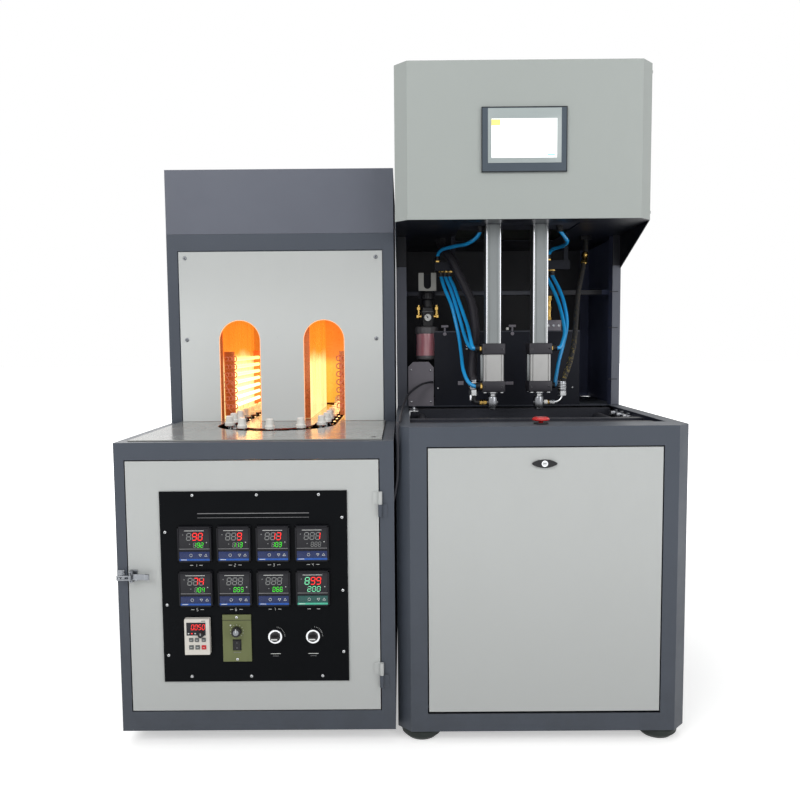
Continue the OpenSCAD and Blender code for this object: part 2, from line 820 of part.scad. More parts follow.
// Fan ring with a spider that carries the motor, and a cowl with a guard behind it
module oven_fan_frame() {
    color(black) translate([heater_x, 0, 0]) {
        difference() {
            rod_y(heater_back_y, heater_back_y + cowl_t, 0, fan_z, fan_d);
            rod_y(heater_back_y - eps, heater_back_y + cowl_t - 3, 0, fan_z, fan_d - 6);
            for (i = [0:5]) {
                translate([0, heater_back_y + cowl_t, fan_z]) rotate([90, 0, 0])
                    linear_extrude(height = 2 * cowl_t, center = true) difference() {
                        circle(r = 18 + 11 * i + 8);
                        circle(r = 18 + 11 * i);
                        for (turn = [45, 135]) {
                            rotate([0, 0, turn]) square([fan_d, 4], center = true);
                        }
                    }
            }
        }
        rod_y(heater_back_y - fan_hub_reach, heater_back_y + cowl_t - 3, 0, fan_z, fan_hub_d);
    }
}

module oven_fan_impeller() {
    color(steel) translate([heater_x, heater_back_y - 14, fan_z]) rotate([-90, 0, 0]) difference() {
        union() {
            cylinder(h = 20, d = 50);
            for (i = [0:5]) {
                rotate([0, 0, 60 * i]) translate([22, 0, 10]) rotate([35, 0, 0])
                    translate([0, -12, -1]) cube([44, 24, 2]);
            }
        }
        translate([0, 0, -eps]) cylinder(h = 20 + 2 * eps, d = fan_hub_d + 2 * clearance);
    }
}

module control_door() {
    color(pale) difference() {
        union() {
            translate([door_mid_x, 0, 0]) difference() {
                block([-door_w / 2, front_y, door_z], [door_w / 2, front_y + door_t, door_z + door_h]);
                block(
                    [-door_w / 2 + door_sheet, front_y + door_sheet, door_z + door_sheet],
                    [door_w / 2 - door_sheet, front_y + door_t + eps, door_z + door_h - door_sheet]
                );
            }
            // Moving halves of the hinges
            for (z = hinge_zs) {
                translate([hinge_x, hinge_y, z + hinge_leaf_h + clearance])
                    cylinder(h = hinge_leaf_h, d = hinge_d);
                block(
                    [hinge_x - 16, front_y - 2.5, z + hinge_leaf_h + clearance],
                    [hinge_x - door_gap - 1, front_y, z + 2 * hinge_leaf_h + clearance]
                );
                block(
                    [hinge_x - hinge_d / 2, hinge_y, z + hinge_leaf_h + clearance],
                    [hinge_x - door_gap - 1, front_y - 1.5, z + 2 * hinge_leaf_h + clearance]
                );
            }
        }
        translate([panel_x, 0, panel_z]) block(
            [-panel_w / 2 + 10, front_y - eps, 10],
            [panel_w / 2 - 10, front_y + door_sheet + eps, panel_h - 10]
        );
        for (z = hinge_zs) {
            translate([hinge_x, hinge_y, z + hinge_leaf_h])
                cylinder(h = hinge_leaf_h - 3, d = hinge_pin_d + 2 * clearance);
        }
    }
}

module control_panel() {
    color(black) difference() {
        translate([panel_x, 0, panel_z]) block([-panel_w / 2, panel_y, 0], [panel_w / 2, front_y, panel_h]);
        for (i = [0:3], j = [0, 1]) {
            translate([controller_x + i * controller_pitch_x, 0, controller_z - j * controller_pitch_z])
                block(
                    [-controller_body / 2 - clearance, panel_y - eps, -controller_body / 2 - clearance],
                    [controller_body / 2 + clearance, front_y + eps, controller_body / 2 + clearance]
                );
        }
        for (x = selector_xs) {
            rod_y(panel_y - eps, front_y + eps, x, selector_z, selector_core_d);
        }
        rod_y(panel_y - eps, front_y + eps, speed_x, speed_z + speed_knob_dz, shaft_hole + 2);
        rod_y(panel_y - eps, front_y + eps, keypad_knob_x, keypad_knob_z, shaft_hole + 2);
    }
    screw_x = panel_w / 2 - 11;
    spots = concat(
        [for (x = [-141, -11, 144]) [x, 12]],
        [for (x = [-130, 8, 141]) [x, panel_h - 8]],
        [for (z = [60, 172, 332]) [-screw_x, z]],
        [for (z = [66, 202, 362]) [screw_x, z]]
    );
    color(steel) for (s = spots) {
        rod_y(panel_y - 2.2, panel_y + 1, panel_x + s[0], panel_z + s[1], 7);
    }
}

module temperature_controllers() {
    color([0.12, 0.14, 0.17]) for (i = [0:3], j = [0, 1]) {
        translate([controller_x + i * controller_pitch_x, 0, controller_z - j * controller_pitch_z]) {
            block(
                [-controller_w / 2, panel_y - controller_bezel, -controller_h / 2],
                [controller_w / 2, panel_y, controller_h / 2]
            );
            block(
                [-controller_body / 2, panel_y - eps, -controller_body / 2],
                [controller_body / 2, panel_y + controller_depth, controller_body / 2]
            );
        }
    }
}

module keypad() {
    hole = shaft_hole + 2 * clearance;
    color(white) difference() {
        translate([keypad_x, panel_y, keypad_z])
            block([-keypad_w / 2, -keypad_t, -keypad_h / 2], [keypad_w / 2, 0, keypad_h / 2]);
        rod_y(panel_y - keypad_t - eps, panel_y + eps, keypad_knob_x, keypad_knob_z, hole);
    }
}

module turning_knob(x, z, y, d, h) {
    rod_y(y - h, y - clearance, x, z, d);
    rod_y(y - clearance - eps, y + 16, x, z, shaft_hole);
}

module keypad_knob() {
    color(black) turning_knob(keypad_knob_x, keypad_knob_z, panel_y - keypad_t, keypad_knob_d, 9);
}

module speed_controller() {
    color([0.36, 0.36, 0.24]) translate([speed_x, 0, speed_z]) difference() {
        block([-speed_w / 2, panel_y - speed_t, -speed_h / 2], [speed_w / 2, panel_y, speed_h / 2]);
        rod_y(panel_y - speed_t - eps, panel_y + eps, 0, speed_knob_dz, shaft_hole + 2 * clearance);
        block(
            [-rocker_w / 2 - clearance, panel_y - speed_t - eps, rocker_dz - rocker_h / 2 - clearance],
            [rocker_w / 2 + clearance, panel_y + eps, rocker_dz + rocker_h / 2 + clearance]
        );
    }
}

module speed_knob() {
    color(steel) turning_knob(speed_x, speed_z + speed_knob_dz, panel_y - speed_t, speed_knob_d, 12);
}

// Rocker that tips about a pivot along x, kept inside its frame
module rocker_switch() {
    color(black) translate([speed_x, panel_y - speed_t, speed_z + rocker_dz]) rotate([0, 90, 0])
        linear_extrude(height = rocker_w - 1, center = true) intersection() {
            reach = rocker_h / 2 + 1;
            circle(d = rocker_h - 0.2);
            polygon([[-reach, -3.4], [0, -1.8], [reach, -3.4], [reach, 2.2], [-reach, 2.2]]);
        }
}

module selector_bases() {
    color(steel) for (x = selector_xs) {
        difference() {
            rod_y(panel_y - selector_t, panel_y, x, selector_z, selector_d);
            rod_y(panel_y - selector_t - eps, panel_y + eps, x, selector_z, selector_core_d);
        }
        difference() {
            rod_y(panel_y, panel_y + 36, x, selector_z, selector_core_d - 2 * clearance);
            rod_y(panel_y - eps, panel_y + 26, x, selector_z, selector_core_d - 6);
        }
        translate([x - selector_core_d / 2, front_y, selector_z]) block([0, 0, -2], [2.5, 6, 2]);
    }
}

module selector_knob(x) {
    core = selector_core_d - 6 - 2 * clearance;
    face_y = panel_y - selector_t;
    color(black) {
        rod_y(face_y + 1, panel_y + 24, x, selector_z, core);
        rod_y(face_y - 6, face_y + 1, x, selector_z, selector_core_d - 2 * clearance);
        translate([x, face_y, selector_z]) block([-core / 2 - 1, -14, -3], [core / 2 + 1, -5, 3]);
    }
}

module selector_knob_left() {
    selector_knob(selector_xs[0]);
}

module selector_knob_right() {
    selector_knob(selector_xs[1]);
}

module door_latch_base() {
    color(steel) translate([latch_x, 0, latch_z]) difference() {
        union() {
            block([-6, front_y - 3, -latch_h / 2], [10, front_y, latch_h / 2]);
            for (side = [-1, 1]) {
                translate([0, 0, side * (latch_h - latch_ear_t) / 2])
                    block([-4, latch_y - 3.5, -latch_ear_t / 2], [4, front_y, latch_ear_t / 2]);
            }
        }
        translate([0, latch_y, -latch_h]) cylinder(h = 2 * latch_h, d = latch_pin_d + 2 * clearance);
    }
}

// Keeper of the door latch on the cabinet, a post inside the bail
module latch_keeper() {
    color(steel) translate([latch_x - bail_len, 0, latch_z]) {
        block([-7, front_y - 2.5, -12], [9, front_y, 12]);
        block(
            [bail_wire / 2 + keeper_play, latch_y - latch_arm - 3, -1.8],
            [bail_wire / 2 + keeper_play + 4, front_y, 1.8]
        );
    }
}

// Lever with its own pivot pin and a second pin that carries the wire bail
module latch_lever() {
    inner = latch_h / 2 - latch_ear_t - clearance;
    color(steel) translate([latch_x, latch_y, latch_z]) {
        translate([0, 0, -latch_h / 2]) cylinder(h = latch_h, d = latch_pin_d);
        translate([0, 0, -inner]) cylinder(h = 2 * inner, d = 8);
        block([0, -3.5, -6], [lever_len - 6, -0.5, 6]);
        block([lever_len - 7, -7, -6], [lever_len, -3, 6]);
        block([lever_len - 9, -7, -6], [lever_len - 6, -0.5, 6]);
        translate([0, -latch_arm, -inner]) cylinder(h = 2 * inner, d = latch_pin_d);
        for (side = [-1, 1]) {
            translate([0, 0, side * (inner - latch_ear_t / 2)])
                block([-1.5, -latch_arm, -latch_ear_t / 2], [1.5, 0, latch_ear_t / 2]);
        }
    }
}

module latch_bail() {
    inner = latch_h / 2 - 2 * (latch_ear_t + clearance);
    color(steel) translate([latch_x, latch_y - latch_arm, latch_z]) difference() {
        union() {
            for (side = [-1, 1]) {
                translate([0, 0, side * (inner - bail_wire / 2)])
                    block([-bail_len, -bail_wire / 2, -bail_wire / 2], [0, bail_wire / 2, bail_wire / 2]);
            }
            translate([-bail_len, 0, -inner]) cylinder(h = 2 * inner, d = bail_wire);
            translate([0, 0, -inner]) cylinder(h = 2 * inner, d = bail_hub_d);
        }
        translate([0, 0, -latch_h]) cylinder(h = 2 * latch_h, d = latch_pin_d + 2 * clearance);
    }
}

module blower_cabinet() {
    color(slate) difference() {
        union() {
            translate([blower_x, 0, blower_foot_h]) difference() {
                linear_extrude(height = rim_z - blower_foot_h)
                    bevelled_plan(blower_w, front_y, blower_back_y, edge_bevel, edge_bevel);
                translate([0, 0, sheet]) linear_extrude(height = rim_z - blower_foot_h - 2 * sheet)
                    bevelled_plan(
                        blower_w - 2 * sheet, front_y + sheet, blower_back_y - sheet,
                        edge_bevel - 0.6 * sheet, edge_bevel - 0.6 * sheet
                    );
            }
            // Folded lip round the front and sides of the pit
            translate([blower_x, 0, rim_z - pit_lip]) block(
                [-blower_w / 2 + pit_side - sheet, front_y + pit_front - sheet, 0],
                [blower_w / 2 - pit_side + sheet, column_y - pit_lip_gap, pit_lip]
            );
            // Ears that hold the pivots of the service door
            for (x = [service_x0 - service_gap - pivot_tab_t, service_x1 + service_gap]) {
                translate([x, 0, service_z])
                    block([0, front_y + sheet / 2, -4], [pivot_tab_t, service_pivot_y + 10, 22]);
            }
            pin_out = service_gap + 1;
            for (x = [[service_x0 - pin_out, service_x0 + 8], [service_x1 - 8, service_x1 + pin_out]]) {
                rod_x(x[0], x[1], service_pivot_y, service_pivot_z, service_pin_d);
            }
        }
        block(
            [blower_x - blower_w / 2 + pit_side, front_y + pit_front, rim_z - pit_lip - eps],
            [blower_x + blower_w / 2 - pit_side, column_y, rim_z + eps]
        );
        block(
            [service_x0 - service_gap, front_y - eps, service_z - service_low_gap],
            [service_x1 + service_gap, front_y + sheet + eps, service_z + service_h + service_gap]
        );
        rod_z(rim_z - sheet - eps, rim_z + eps, blower_x, stop_y, stop_stem_d + 2);
        // Vent slots in the back and on the right side
        for (i = [0:8]) {
            block(
                [blower_x - 150, blower_back_y - sheet - eps, 160 + i * 26],
                [blower_x + 150, blower_back_y + eps, 168 + i * 26]
            );
            block(
                [blower_x + blower_w / 2 - sheet - eps, -60, 160 + i * 26],
                [blower_x + blower_w / 2 + eps, 140, 168 + i * 26]
            );
        }
    }
}

module service_door() {
    face = 2;
    color(pale) difference() {
        union() {
            difference() {
                block(
                    [service_x0, front_y, service_z],
                    [service_x1, front_y + service_t, service_z + service_h]
                );
                block(
                    [service_x0 + face, front_y + face, service_z + face],
                    [service_x1 - face, front_y + service_t + eps, service_z + service_h - face]
                );
            }
            // Blocks that take the pivots
            for (x = [service_x0, service_x1 - 14]) {
                block([x, front_y, service_z], [x + 14, front_y + service_t, service_z + 20]);
            }
            // Oval lock plate
            translate([blower_x, front_y, lock_z]) rotate([90, 0, 0])
                linear_extrude(height = 3) lock_plan(lock_w, lock_h);
        }
        for (x = [[service_x0 - eps, service_x0 + 9], [service_x1 - 9, service_x1 + eps]]) {
            rod_x(x[0], x[1], service_pivot_y, service_pivot_z, service_pin_d + 2 * clearance);
        }
        rod_y(front_y - 4, front_y + face + eps, blower_x, lock_z, 12 + 2 * clearance);
    }
}

// Pointed oval where two round arcs cross
module lock_plan(w, h) {
    r = (w * w + h * h) / (4 * h);
    intersection() {
        translate([0, r - h / 2]) circle(r = r, $fn = 96);
        translate([0, h / 2 - r]) circle(r = r, $fn = 96);
    }
}

// Key cylinder with the tongue that turns up behind the frame
module lock_cam() {
    color(steel) translate([blower_x, 0, lock_z]) {
        rod_y(front_y - 3.6, front_y + 22, 0, 0, 12);
        block([-40, front_y + 18, -7], [4, front_y + 21, 7]);
    }
}

module stop_base() {
    color(black) translate([blower_x, stop_y, 0]) difference() {
        union() {
            rod_z(rim_z, rim_z + stop_base_h, 0, 0, stop_d - 6);
            rod_z(rim_z - 40, rim_z + eps, 0, 0, stop_stem_d + 1.4);
        }
        rod_z(rim_z - 36, rim_z + stop_base_h + eps, 0, 0, 10 + 2 * clearance);
    }
}

module stop_button() {
    color([0.80, 0.08, 0.06]) translate([blower_x, stop_y, rim_z + stop_base_h]) {
        translate([0, 0, stop_travel + clearance]) rotate_extrude() polygon([
            [0, 0], [stop_d / 2 - 5, 0], [stop_d / 2, 2],
            [stop_d / 2, stop_head_h - 4], [stop_d / 2 - 4, stop_head_h - 1], [0, stop_head_h]
        ]);
        translate([0, 0, -34]) cylinder(h = 34 + stop_travel + 2, d = 10);
    }
}

// Bed on two rails, both end plates, the four tie bars and their nuts
module clamp_bed() {
    color([0.40, 0.42, 0.45]) translate([blower_x, station_y, 0]) {
        block(
            [-platen_w / 2, -end_plate_y - end_plate_t, bed_z],
            [platen_w / 2, end_plate_y + end_plate_t, bed_z + bed_t]
        );
        for (side = [-1, 1]) {
            translate([0, side * (end_plate_y - 30), 0])
                block([-blower_w / 2 + sheet, -20, bed_z - 40], [blower_w / 2 - sheet, 20, bed_z]);
            difference() {
                translate([0, side * (end_plate_y + end_plate_t / 2), 0]) block(
                    [-platen_w / 2, -end_plate_t / 2, bed_z + bed_t],
                    [platen_w / 2, end_plate_t / 2, platen_top_z]
                );
                translate([0, side * (end_plate_y + end_plate_t / 2), 0])
                    rod_y(-end_plate_t, end_plate_t, 0, clamp_rod_z, clamp_rod_d + 2 * clearance);
            }
            for (x = [-tie_bar_x, tie_bar_x], z = tie_bar_zs) {
                translate([0, side * (end_plate_y + end_plate_t + 10), 0])
                    rod_y(-10, 10, x, z, tie_bar_d + 16);
            }
        }
        for (x = [-tie_bar_x, tie_bar_x], z = tie_bar_zs) {
            rod_y(-end_plate_y - end_plate_t - 26, end_plate_y + end_plate_t + 26, x, z, tie_bar_d);
        }
    }
}

module clamp_cylinders() {
    out = end_plate_y + end_plate_t;
    flange = clamp_cyl_d / 2 + 4;
    color(steel) translate([blower_x, station_y, 0]) for (turn = [0, 180]) {
        rotate([0, 0, turn]) difference() {
            union() {
                rod_y(out, out + clamp_cyl_len, 0, clamp_rod_z, clamp_cyl_d);
                for (y = [out, out + clamp_cyl_len - 16]) {
                    translate([0, y, clamp_rod_z]) block([-flange, 0, -flange], [flange, 16, flange]);
                }
            }
            rod_y(out + clamp_wall, out + clamp_cyl_len - clamp_wall, 0, clamp_rod_z, clamp_cyl_d - 16);
            rod_y(out - eps, out + clamp_wall + eps, 0, clamp_rod_z, clamp_rod_d + 2 * clearance);
        }
    }
}

// Platen with its bushed bores, and the rod and piston of its clamp cylinder
module platen(turn) {
    out = end_plate_y + end_plate_t;
    piston_y = out + clamp_cyl_len - clamp_wall - 1 - clamp_piston_t;
    color([0.50, 0.52, 0.55]) translate([blower_x, station_y, 0]) rotate([0, 0, turn]) {
        difference() {
            block([-platen_w / 2, platen_y, platen_z], [platen_w / 2, platen_y + platen_t, platen_top_z]);
            for (x = [-tie_bar_x, tie_bar_x], z = tie_bar_zs) {
                rod_y(platen_y - eps, platen_y + platen_t + eps, x, z, tie_bar_d + 2 * clearance);
            }
        }
        rod_y(platen_y + platen_t, piston_y + eps, 0, clamp_rod_z, clamp_rod_d);
        rod_y(piston_y, piston_y + clamp_piston_t, 0, clamp_rod_z, clamp_cyl_d - 16 - 2 * clearance);
    }
}

module front_platen() {
    platen(180);
}

module rear_platen() {
    platen(0);
}

// Half of the two-cavity mould, hollowed to the shape of a bottle and its neck
module mould_half(turn) {
    cavity_z = mould_z + mould_h - neck_h - bottle_h;
    split = closed_gap / 2 + clamp_stroke;
    color(steel) translate([blower_x, station_y, 0]) difference() {
        rotate([0, 0, turn]) translate([0, split, mould_z])
            block([-mould_w / 2, 0, 0], [mould_w / 2, mould_t, mould_h]);
        for (x = station_xs) {
            translate([x - blower_x, turn == 0 ? clamp_stroke : -clamp_stroke, cavity_z])
                rotate_extrude() polygon([
                    [0, 0], [bottle_d / 2 - 6, 0], [bottle_d / 2, 6], [bottle_d / 2, bottle_h - shoulder_h],
                    [neck_d / 2, bottle_h], [neck_d / 2, bottle_h + neck_h + eps],
                    [0, bottle_h + neck_h + eps]
                ]);
        }
    }
}

module front_mould() {
    mould_half(180);
}

module rear_mould() {
    mould_half(0);
}

// Side walls with folded front posts, back wall and the sloping gussets below the head
module column_frame() {
    color(slate) translate([blower_x, 0, 0]) {
        difference() {
            block([-blower_w / 2, column_y, rim_z], [blower_w / 2, blower_back_y, head_z]);
            block(
                [-blower_w / 2 + sheet, column_y + column_post, rim_z - eps],
                [blower_w / 2 - sheet, blower_back_y - sheet, head_z + eps]
            );
            block(
                [-blower_w / 2 + column_left, column_y - eps, rim_z - eps],
                [blower_w / 2 - column_right, column_y + column_post + eps, head_z + eps]
            );
            block(
                [-blower_w / 2 + sheet, column_y + sheet, rim_z - eps],
                [-blower_w / 2 + column_left - sheet, column_y + column_post + eps, head_z + eps]
            );
            block(
                [blower_w / 2 - column_right + sheet, column_y + sheet, rim_z - eps],
                [blower_w / 2 - sheet, column_y + column_post + eps, head_z + eps]
            );
        }
        for (x = [-blower_w / 2, blower_w / 2 - sheet]) {
            translate([x, 0, head_z]) rotate([90, 0, 90]) linear_extrude(height = sheet)
                polygon([[column_y, -gusset_drop], [column_y, 0], [head_y + head_bevel, 0]]);
        }
        // Rail between the side walls
        block(
            [-blower_w / 2 + sheet, column_y + 80, rail_z],
            [blower_w / 2 - sheet, column_y + 80 + rail_d, rail_z + rail_h]
        );
    }
}

// Guard plate over the rear clamp, its wing handles, valve block, bulkhead and bracket
module column_fittings() {
    guard_y = column_y + 8;
    color(black) {
        translate([blower_x - 2.5, guard_y, rim_z]) {
            block([-guard_w / 2, 0, 0], [guard_w / 2, guard_t, guard_h]);
            block([-guard_w / 2, guard_t, 0], [guard_w / 2, 32, 4]);
            for (x = [-177.5, 15.5]) {
                rod_z(guard_h, guard_h + 14, x, guard_t / 2, guard_t);
                rod_x(x - 9, x + 9, guard_t / 2, guard_h + 14, 7);
            }
        }
        // Slate plate with cut corners at the left
        translate([blower_x - 247, column_y + 6, rim_z]) rotate([90, 0, 0]) linear_extrude(height = 3)
            polygon([[-38, 0], [34, 0], [34, 110], [20, 126], [-24, 126], [-38, 112]]);
        // Valve block behind the right station
        translate([blower_x + 130, guard_y, rim_z + guard_h]) {
            block([-22, 0, 0], [22, 44, 30]);
            rod_z(30, 88, -8, 26, 12);
            rod_z(88, 100, -8, 26, 18);
        }
        // Bracket on the rail, with a plate down to the back of the filter
        translate([filter_x, column_y, 0]) {
            block([-25, 76, rail_z - 6], [25, 80, rail_z + 62]);
            for (x = [-25, 21]) {
                block([x, 40, rail_z + 14], [x + 4, 80, rail_z + 62]);
            }
            block([-12, 75, filter_z + 20], [12, 80, rail_z + 10]);
        }
        // Bulkhead bars that the tubes come from, hung from the head floor:
        // both ends in x, place in y, and the x of the hanger
        for (bar = [[-208, -146, column_y + 6, -155], [88, 170, column_y - 16, 160]]) {
            translate([blower_x, bar[2], 0]) {
                block([bar[0], 0, rim_z + 384], [bar[1], 20, rim_z + 408]);
                block([bar[3] - 6, 6, rim_z + 408], [bar[3] + 6, 14, head_z]);
            }
        }
    }
}

module filter_regulator() {
    color(black) translate([filter_x, filter_y, filter_z]) {
        block([-filter_w / 2, -25, 0], [filter_w / 2, 25, filter_h - 25]);
        rod_z(filter_h - 25, filter_h, 0, 0, 40);
        for (x = [-filter_w / 2 - 12, filter_w / 2]) {
            rod_x(x, x + 12, 0, 30, 22);
        }
        rod_y(-36, -25, 0, 26, 20);
        rod_z(-17, 0, 0, 0, bowl_d + 4);
    }
}

module filter_bowl() {
    top = bowl_h - 17;
    color([0.60, 0.30, 0.32]) translate([filter_x, filter_y, filter_z - bowl_h]) rotate_extrude() polygon([
        [0, 0], [7, 0], [7, 9], [bowl_d / 2 - 6, 12], [bowl_d / 2, 22], [bowl_d / 2, top], [0, top]
    ]);
}

module regulator_knob() {
    color(black) translate([filter_x, filter_y, filter_z + filter_h + clearance]) rotate_extrude() polygon([
        [0, 0], [18, 0], [18, 4], [16, 6], [16, 18], [14, 20], [0, 20]
    ]);
}

module head_housing() {
    depth = blower_back_y - head_y;
    color([0.68, 0.70, 0.69]) translate([blower_x, 0, 0]) difference() {
        translate([0, 0, head_z]) linear_extrude(height = head_h)
            bevelled_plan(blower_w, head_y, blower_back_y, head_bevel, 0);
        translate([0, 0, head_z + sheet]) linear_extrude(height = head_h - 2 * sheet)
            bevelled_plan(
                blower_w - 2 * sheet, head_y + sheet, blower_back_y - sheet,
                head_bevel - 0.6 * sheet, 0
            );
        // Opening in the floor for the cylinders, tubes and hoses
        translate([0, station_y - 60, head_z])
            block([-head_hole_w / 2, 0, -eps], [head_hole_w / 2, head_hole_d, sheet + eps]);
        translate([0, head_y, head_z + head_h / 2]) block(
            [-screen_w / 2 + 8, -eps, -screen_h / 2 + 8],
            [screen_w / 2 - 12, sheet + eps, screen_h / 2 - 8]
        );
    }
}

module touch_panel() {
    mid = blower_x - 2;
    color([0.15, 0.17, 0.20]) translate([mid, head_y, head_z + head_h / 2]) {
        block([-screen_w / 2, -6, -screen_h / 2], [screen_w / 2, 0, screen_h / 2]);
        block([-screen_w / 2 + 12, -1, -screen_h / 2 + 12], [screen_w / 2 - 12, 34, screen_h / 2 - 12]);
    }
}

// Both stations: carrier plate, stretch cylinders, seal cylinders, air blocks and fittings
module station_cylinders() {
    color(steel) translate([0, station_y, 0]) difference() {
        union() {
            block(
                [station_x - carrier_w / 2, -carrier_d / 2, stretch_top_z],
                [station_x + carrier_w / 2, carrier_d / 2, stretch_top_z + carrier_t]
            );
            for (x = station_xs) {
                translate([x, 0, 0]) {
                    block(
                        [-stretch_w / 2, -stretch_w / 2, seal_top_z],
                        [stretch_w / 2, stretch_w / 2, stretch_top_z]
                    );
                    for (z = [seal_low_z, seal_top_z - seal_cap_top]) {
                        block([-seal_w / 2, -seal_w / 2, z], [seal_w / 2, seal_w / 2, z + seal_cap_low]);
                    }
                    block(
                        [-seal_w / 2 + 3, -seal_w / 2 + 3, seal_low_z + seal_cap_low],
                        [seal_w / 2 - 3, seal_w / 2 - 3, seal_top_z - seal_cap_top]
                    );
                    block(
                        [-air_block / 2, -air_block / 2, seal_low_z - air_block_h],
                        [air_block / 2, air_block / 2, seal_low_z]
                    );
                }
            }
            // Elbow of the left blow line and pipe of the right one
            rod_x(station_xs[0] - 54, station_xs[0] - 20, 0, seal_low_z - 7, 12);
            rod_z(seal_low_z - 10, seal_low_z + 12, station_xs[0] - 50, 0, 20);
            rod_x(station_xs[1] + 20, station_xs[1] + 62, 0, seal_low_z - 7, 10);
            rod_z(seal_low_z - 12, seal_low_z + 4, station_xs[1] + 62, 0, 18);
        }
        for (x = station_xs) {
            rod_z(seal_low_z - 20, seal_low_z + seal_cap_low + eps, x, 0, nozzle_d + 2 * clearance);
            rod_z(seal_low_z + seal_cap_low, seal_top_z - seal_cap_top, x, 0, seal_bore);
            rod_z(seal_top_z - seal_cap_top - eps, stretch_bore_z + eps, x, 0, stretch_rod_d + 2 * clearance);
            rod_z(stretch_bore_z, stretch_top_z - 12, x, 0, stretch_bore);
        }
    }
}

module nozzle(x) {
    color(steel) translate([x, station_y, 0]) difference() {
        union() {
            rod_z(nozzle_tip_z + 10, nozzle_piston_z + eps, 0, 0, nozzle_d);
            rod_z(nozzle_tip_z, nozzle_tip_z + 10, 0, 0, nozzle_d - 5);
            translate([0, 0, nozzle_tip_z + 12]) cylinder(h = 12, d = nozzle_d + 11, $fn = 6);
            rod_z(nozzle_piston_z, nozzle_piston_z + seal_piston_t, 0, 0, seal_bore - 2 * clearance);
        }
        rod_z(nozzle_tip_z - eps, nozzle_piston_z + seal_piston_t + eps, 0, 0, stretch_rod_d + 2 * clearance);
    }
}

module nozzle_left() {
    nozzle(station_xs[0]);
}

module nozzle_right() {
    nozzle(station_xs[1]);
}

module stretch_rod(x) {
    color(steel) translate([x, station_y, 0]) {
        rod_z(nozzle_tip_z + 8, stretch_piston_z + eps, 0, 0, stretch_rod_d);
        rod_z(stretch_piston_z, stretch_piston_z + stretch_piston_t, 0, 0, stretch_bore - 2 * clearance);
    }
}

module stretch_rod_left() {
    stretch_rod(station_xs[0]);
}

module stretch_rod_right() {
    stretch_rod(station_xs[1]);
}

module air_tubes() {
    color([0.05, 0.42, 0.66]) for (route = tube_routes) {
        tube_along(route, tube_d, 8, 3);
    }
}

// Both feed hoses and the link cable between the cabinets
module feed_hoses() {
    color(black) {
        tube_along(hose_routes[0], hose_d, 10, 2);
        tube_along(hose_routes[1], thin_hose_d, 10, 2);
        tube_along(link_route, link_d, 8, 3);
    }
}

heater_cabinet();
machine_feet();
heater_table();
track_island();
drive_frame();
track_chain();
mandrel_bases();
mandrel_tips();
front_sprocket();
rear_sprocket();
gear_motor();
electrical_plate();
oven_housing();
oven_cap();
oven_front_panel();
oven_reflectors();
lamp_holders();
heat_lamps();
oven_fan_frame();
oven_fan_impeller();
control_door();
control_panel();
temperature_controllers();
keypad();
keypad_knob();
speed_controller();
speed_knob();
rocker_switch();
selector_bases();
selector_knob_left();
selector_knob_right();
door_latch_base();
latch_keeper();
latch_lever();
latch_bail();
blower_cabinet();
service_door();
lock_cam();
stop_base();
stop_button();
clamp_bed();
clamp_cylinders();
front_platen();
rear_platen();
front_mould();
rear_mould();
column_frame();
column_fittings();
filter_regulator();
filter_bowl();
regulator_knob();
head_housing();
touch_panel();
station_cylinders();
nozzle_left();
nozzle_right();
stretch_rod_left();
stretch_rod_right();
air_tubes();
feed_hoses();
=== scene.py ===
from math import cos, pi, radians, sin

import bmesh
import bpy
from mathutils import Matrix, Vector

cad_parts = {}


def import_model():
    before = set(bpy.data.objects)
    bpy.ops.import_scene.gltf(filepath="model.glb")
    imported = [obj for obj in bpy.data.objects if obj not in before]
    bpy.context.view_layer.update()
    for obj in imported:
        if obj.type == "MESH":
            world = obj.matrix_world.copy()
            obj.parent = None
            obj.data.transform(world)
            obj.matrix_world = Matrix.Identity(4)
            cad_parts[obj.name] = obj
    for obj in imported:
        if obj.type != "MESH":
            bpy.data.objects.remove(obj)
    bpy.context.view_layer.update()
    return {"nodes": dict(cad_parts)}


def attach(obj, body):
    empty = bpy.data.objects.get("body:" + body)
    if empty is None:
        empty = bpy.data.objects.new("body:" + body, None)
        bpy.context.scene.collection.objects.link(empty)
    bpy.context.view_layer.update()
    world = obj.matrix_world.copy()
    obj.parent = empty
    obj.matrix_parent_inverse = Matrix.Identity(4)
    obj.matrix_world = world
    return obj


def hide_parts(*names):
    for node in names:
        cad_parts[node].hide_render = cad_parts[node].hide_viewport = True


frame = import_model()
nodes = frame["nodes"]

# Places of the CAD model in metres: middles of the heater and the blowing unit, fronts and heights
HX, BX = -0.320, 0.3025
FRONT = -0.550
TABLE = 0.674
RIM = 0.700
OVEN = FRONT + 0.408
COLUMN = FRONT + 0.547
HEAD = FRONT + 0.274
HEAD_Z = 1.180
HEATER_BACK, COLUMN_BACK = 0.550, 0.350
HEATER_SIDE, BLOWER_SIDE = HX - 0.300, BX + 0.3175
PANEL = (HX - 0.0025, FRONT - 0.003, 0.1455)
STATIONS = [BX - 0.003 - 0.061, BX - 0.003 + 0.061]
STATION_Y = FRONT + 0.390
SEAL_Z = RIM + 0.050
FILTER = (BX - 0.228, FRONT + 0.597, RIM + 0.227)

# Directions
UP, DOWN, FORWARD, LEFT, RIGHT = (0, 0, 1), (0, 0, -1), (0, -1, 0), (-1, 0, 0), (1, 0, 0)
ORIGIN = (0, 0, 0)


def rgb(r, g, b):
    """Linear colour from the 0 to 255 values of a screen colour."""
    def lin(c):
        c /= 255
        return c / 12.92 if c <= 0.04045 else ((c + 0.055) / 1.055) ** 2.4
    return (lin(r), lin(g), lin(b), 1)


def shade(colour, k):
    return (min(colour[0] * k, 1), min(colour[1] * k, 1), min(colour[2] * k, 1), 1)


# Materials

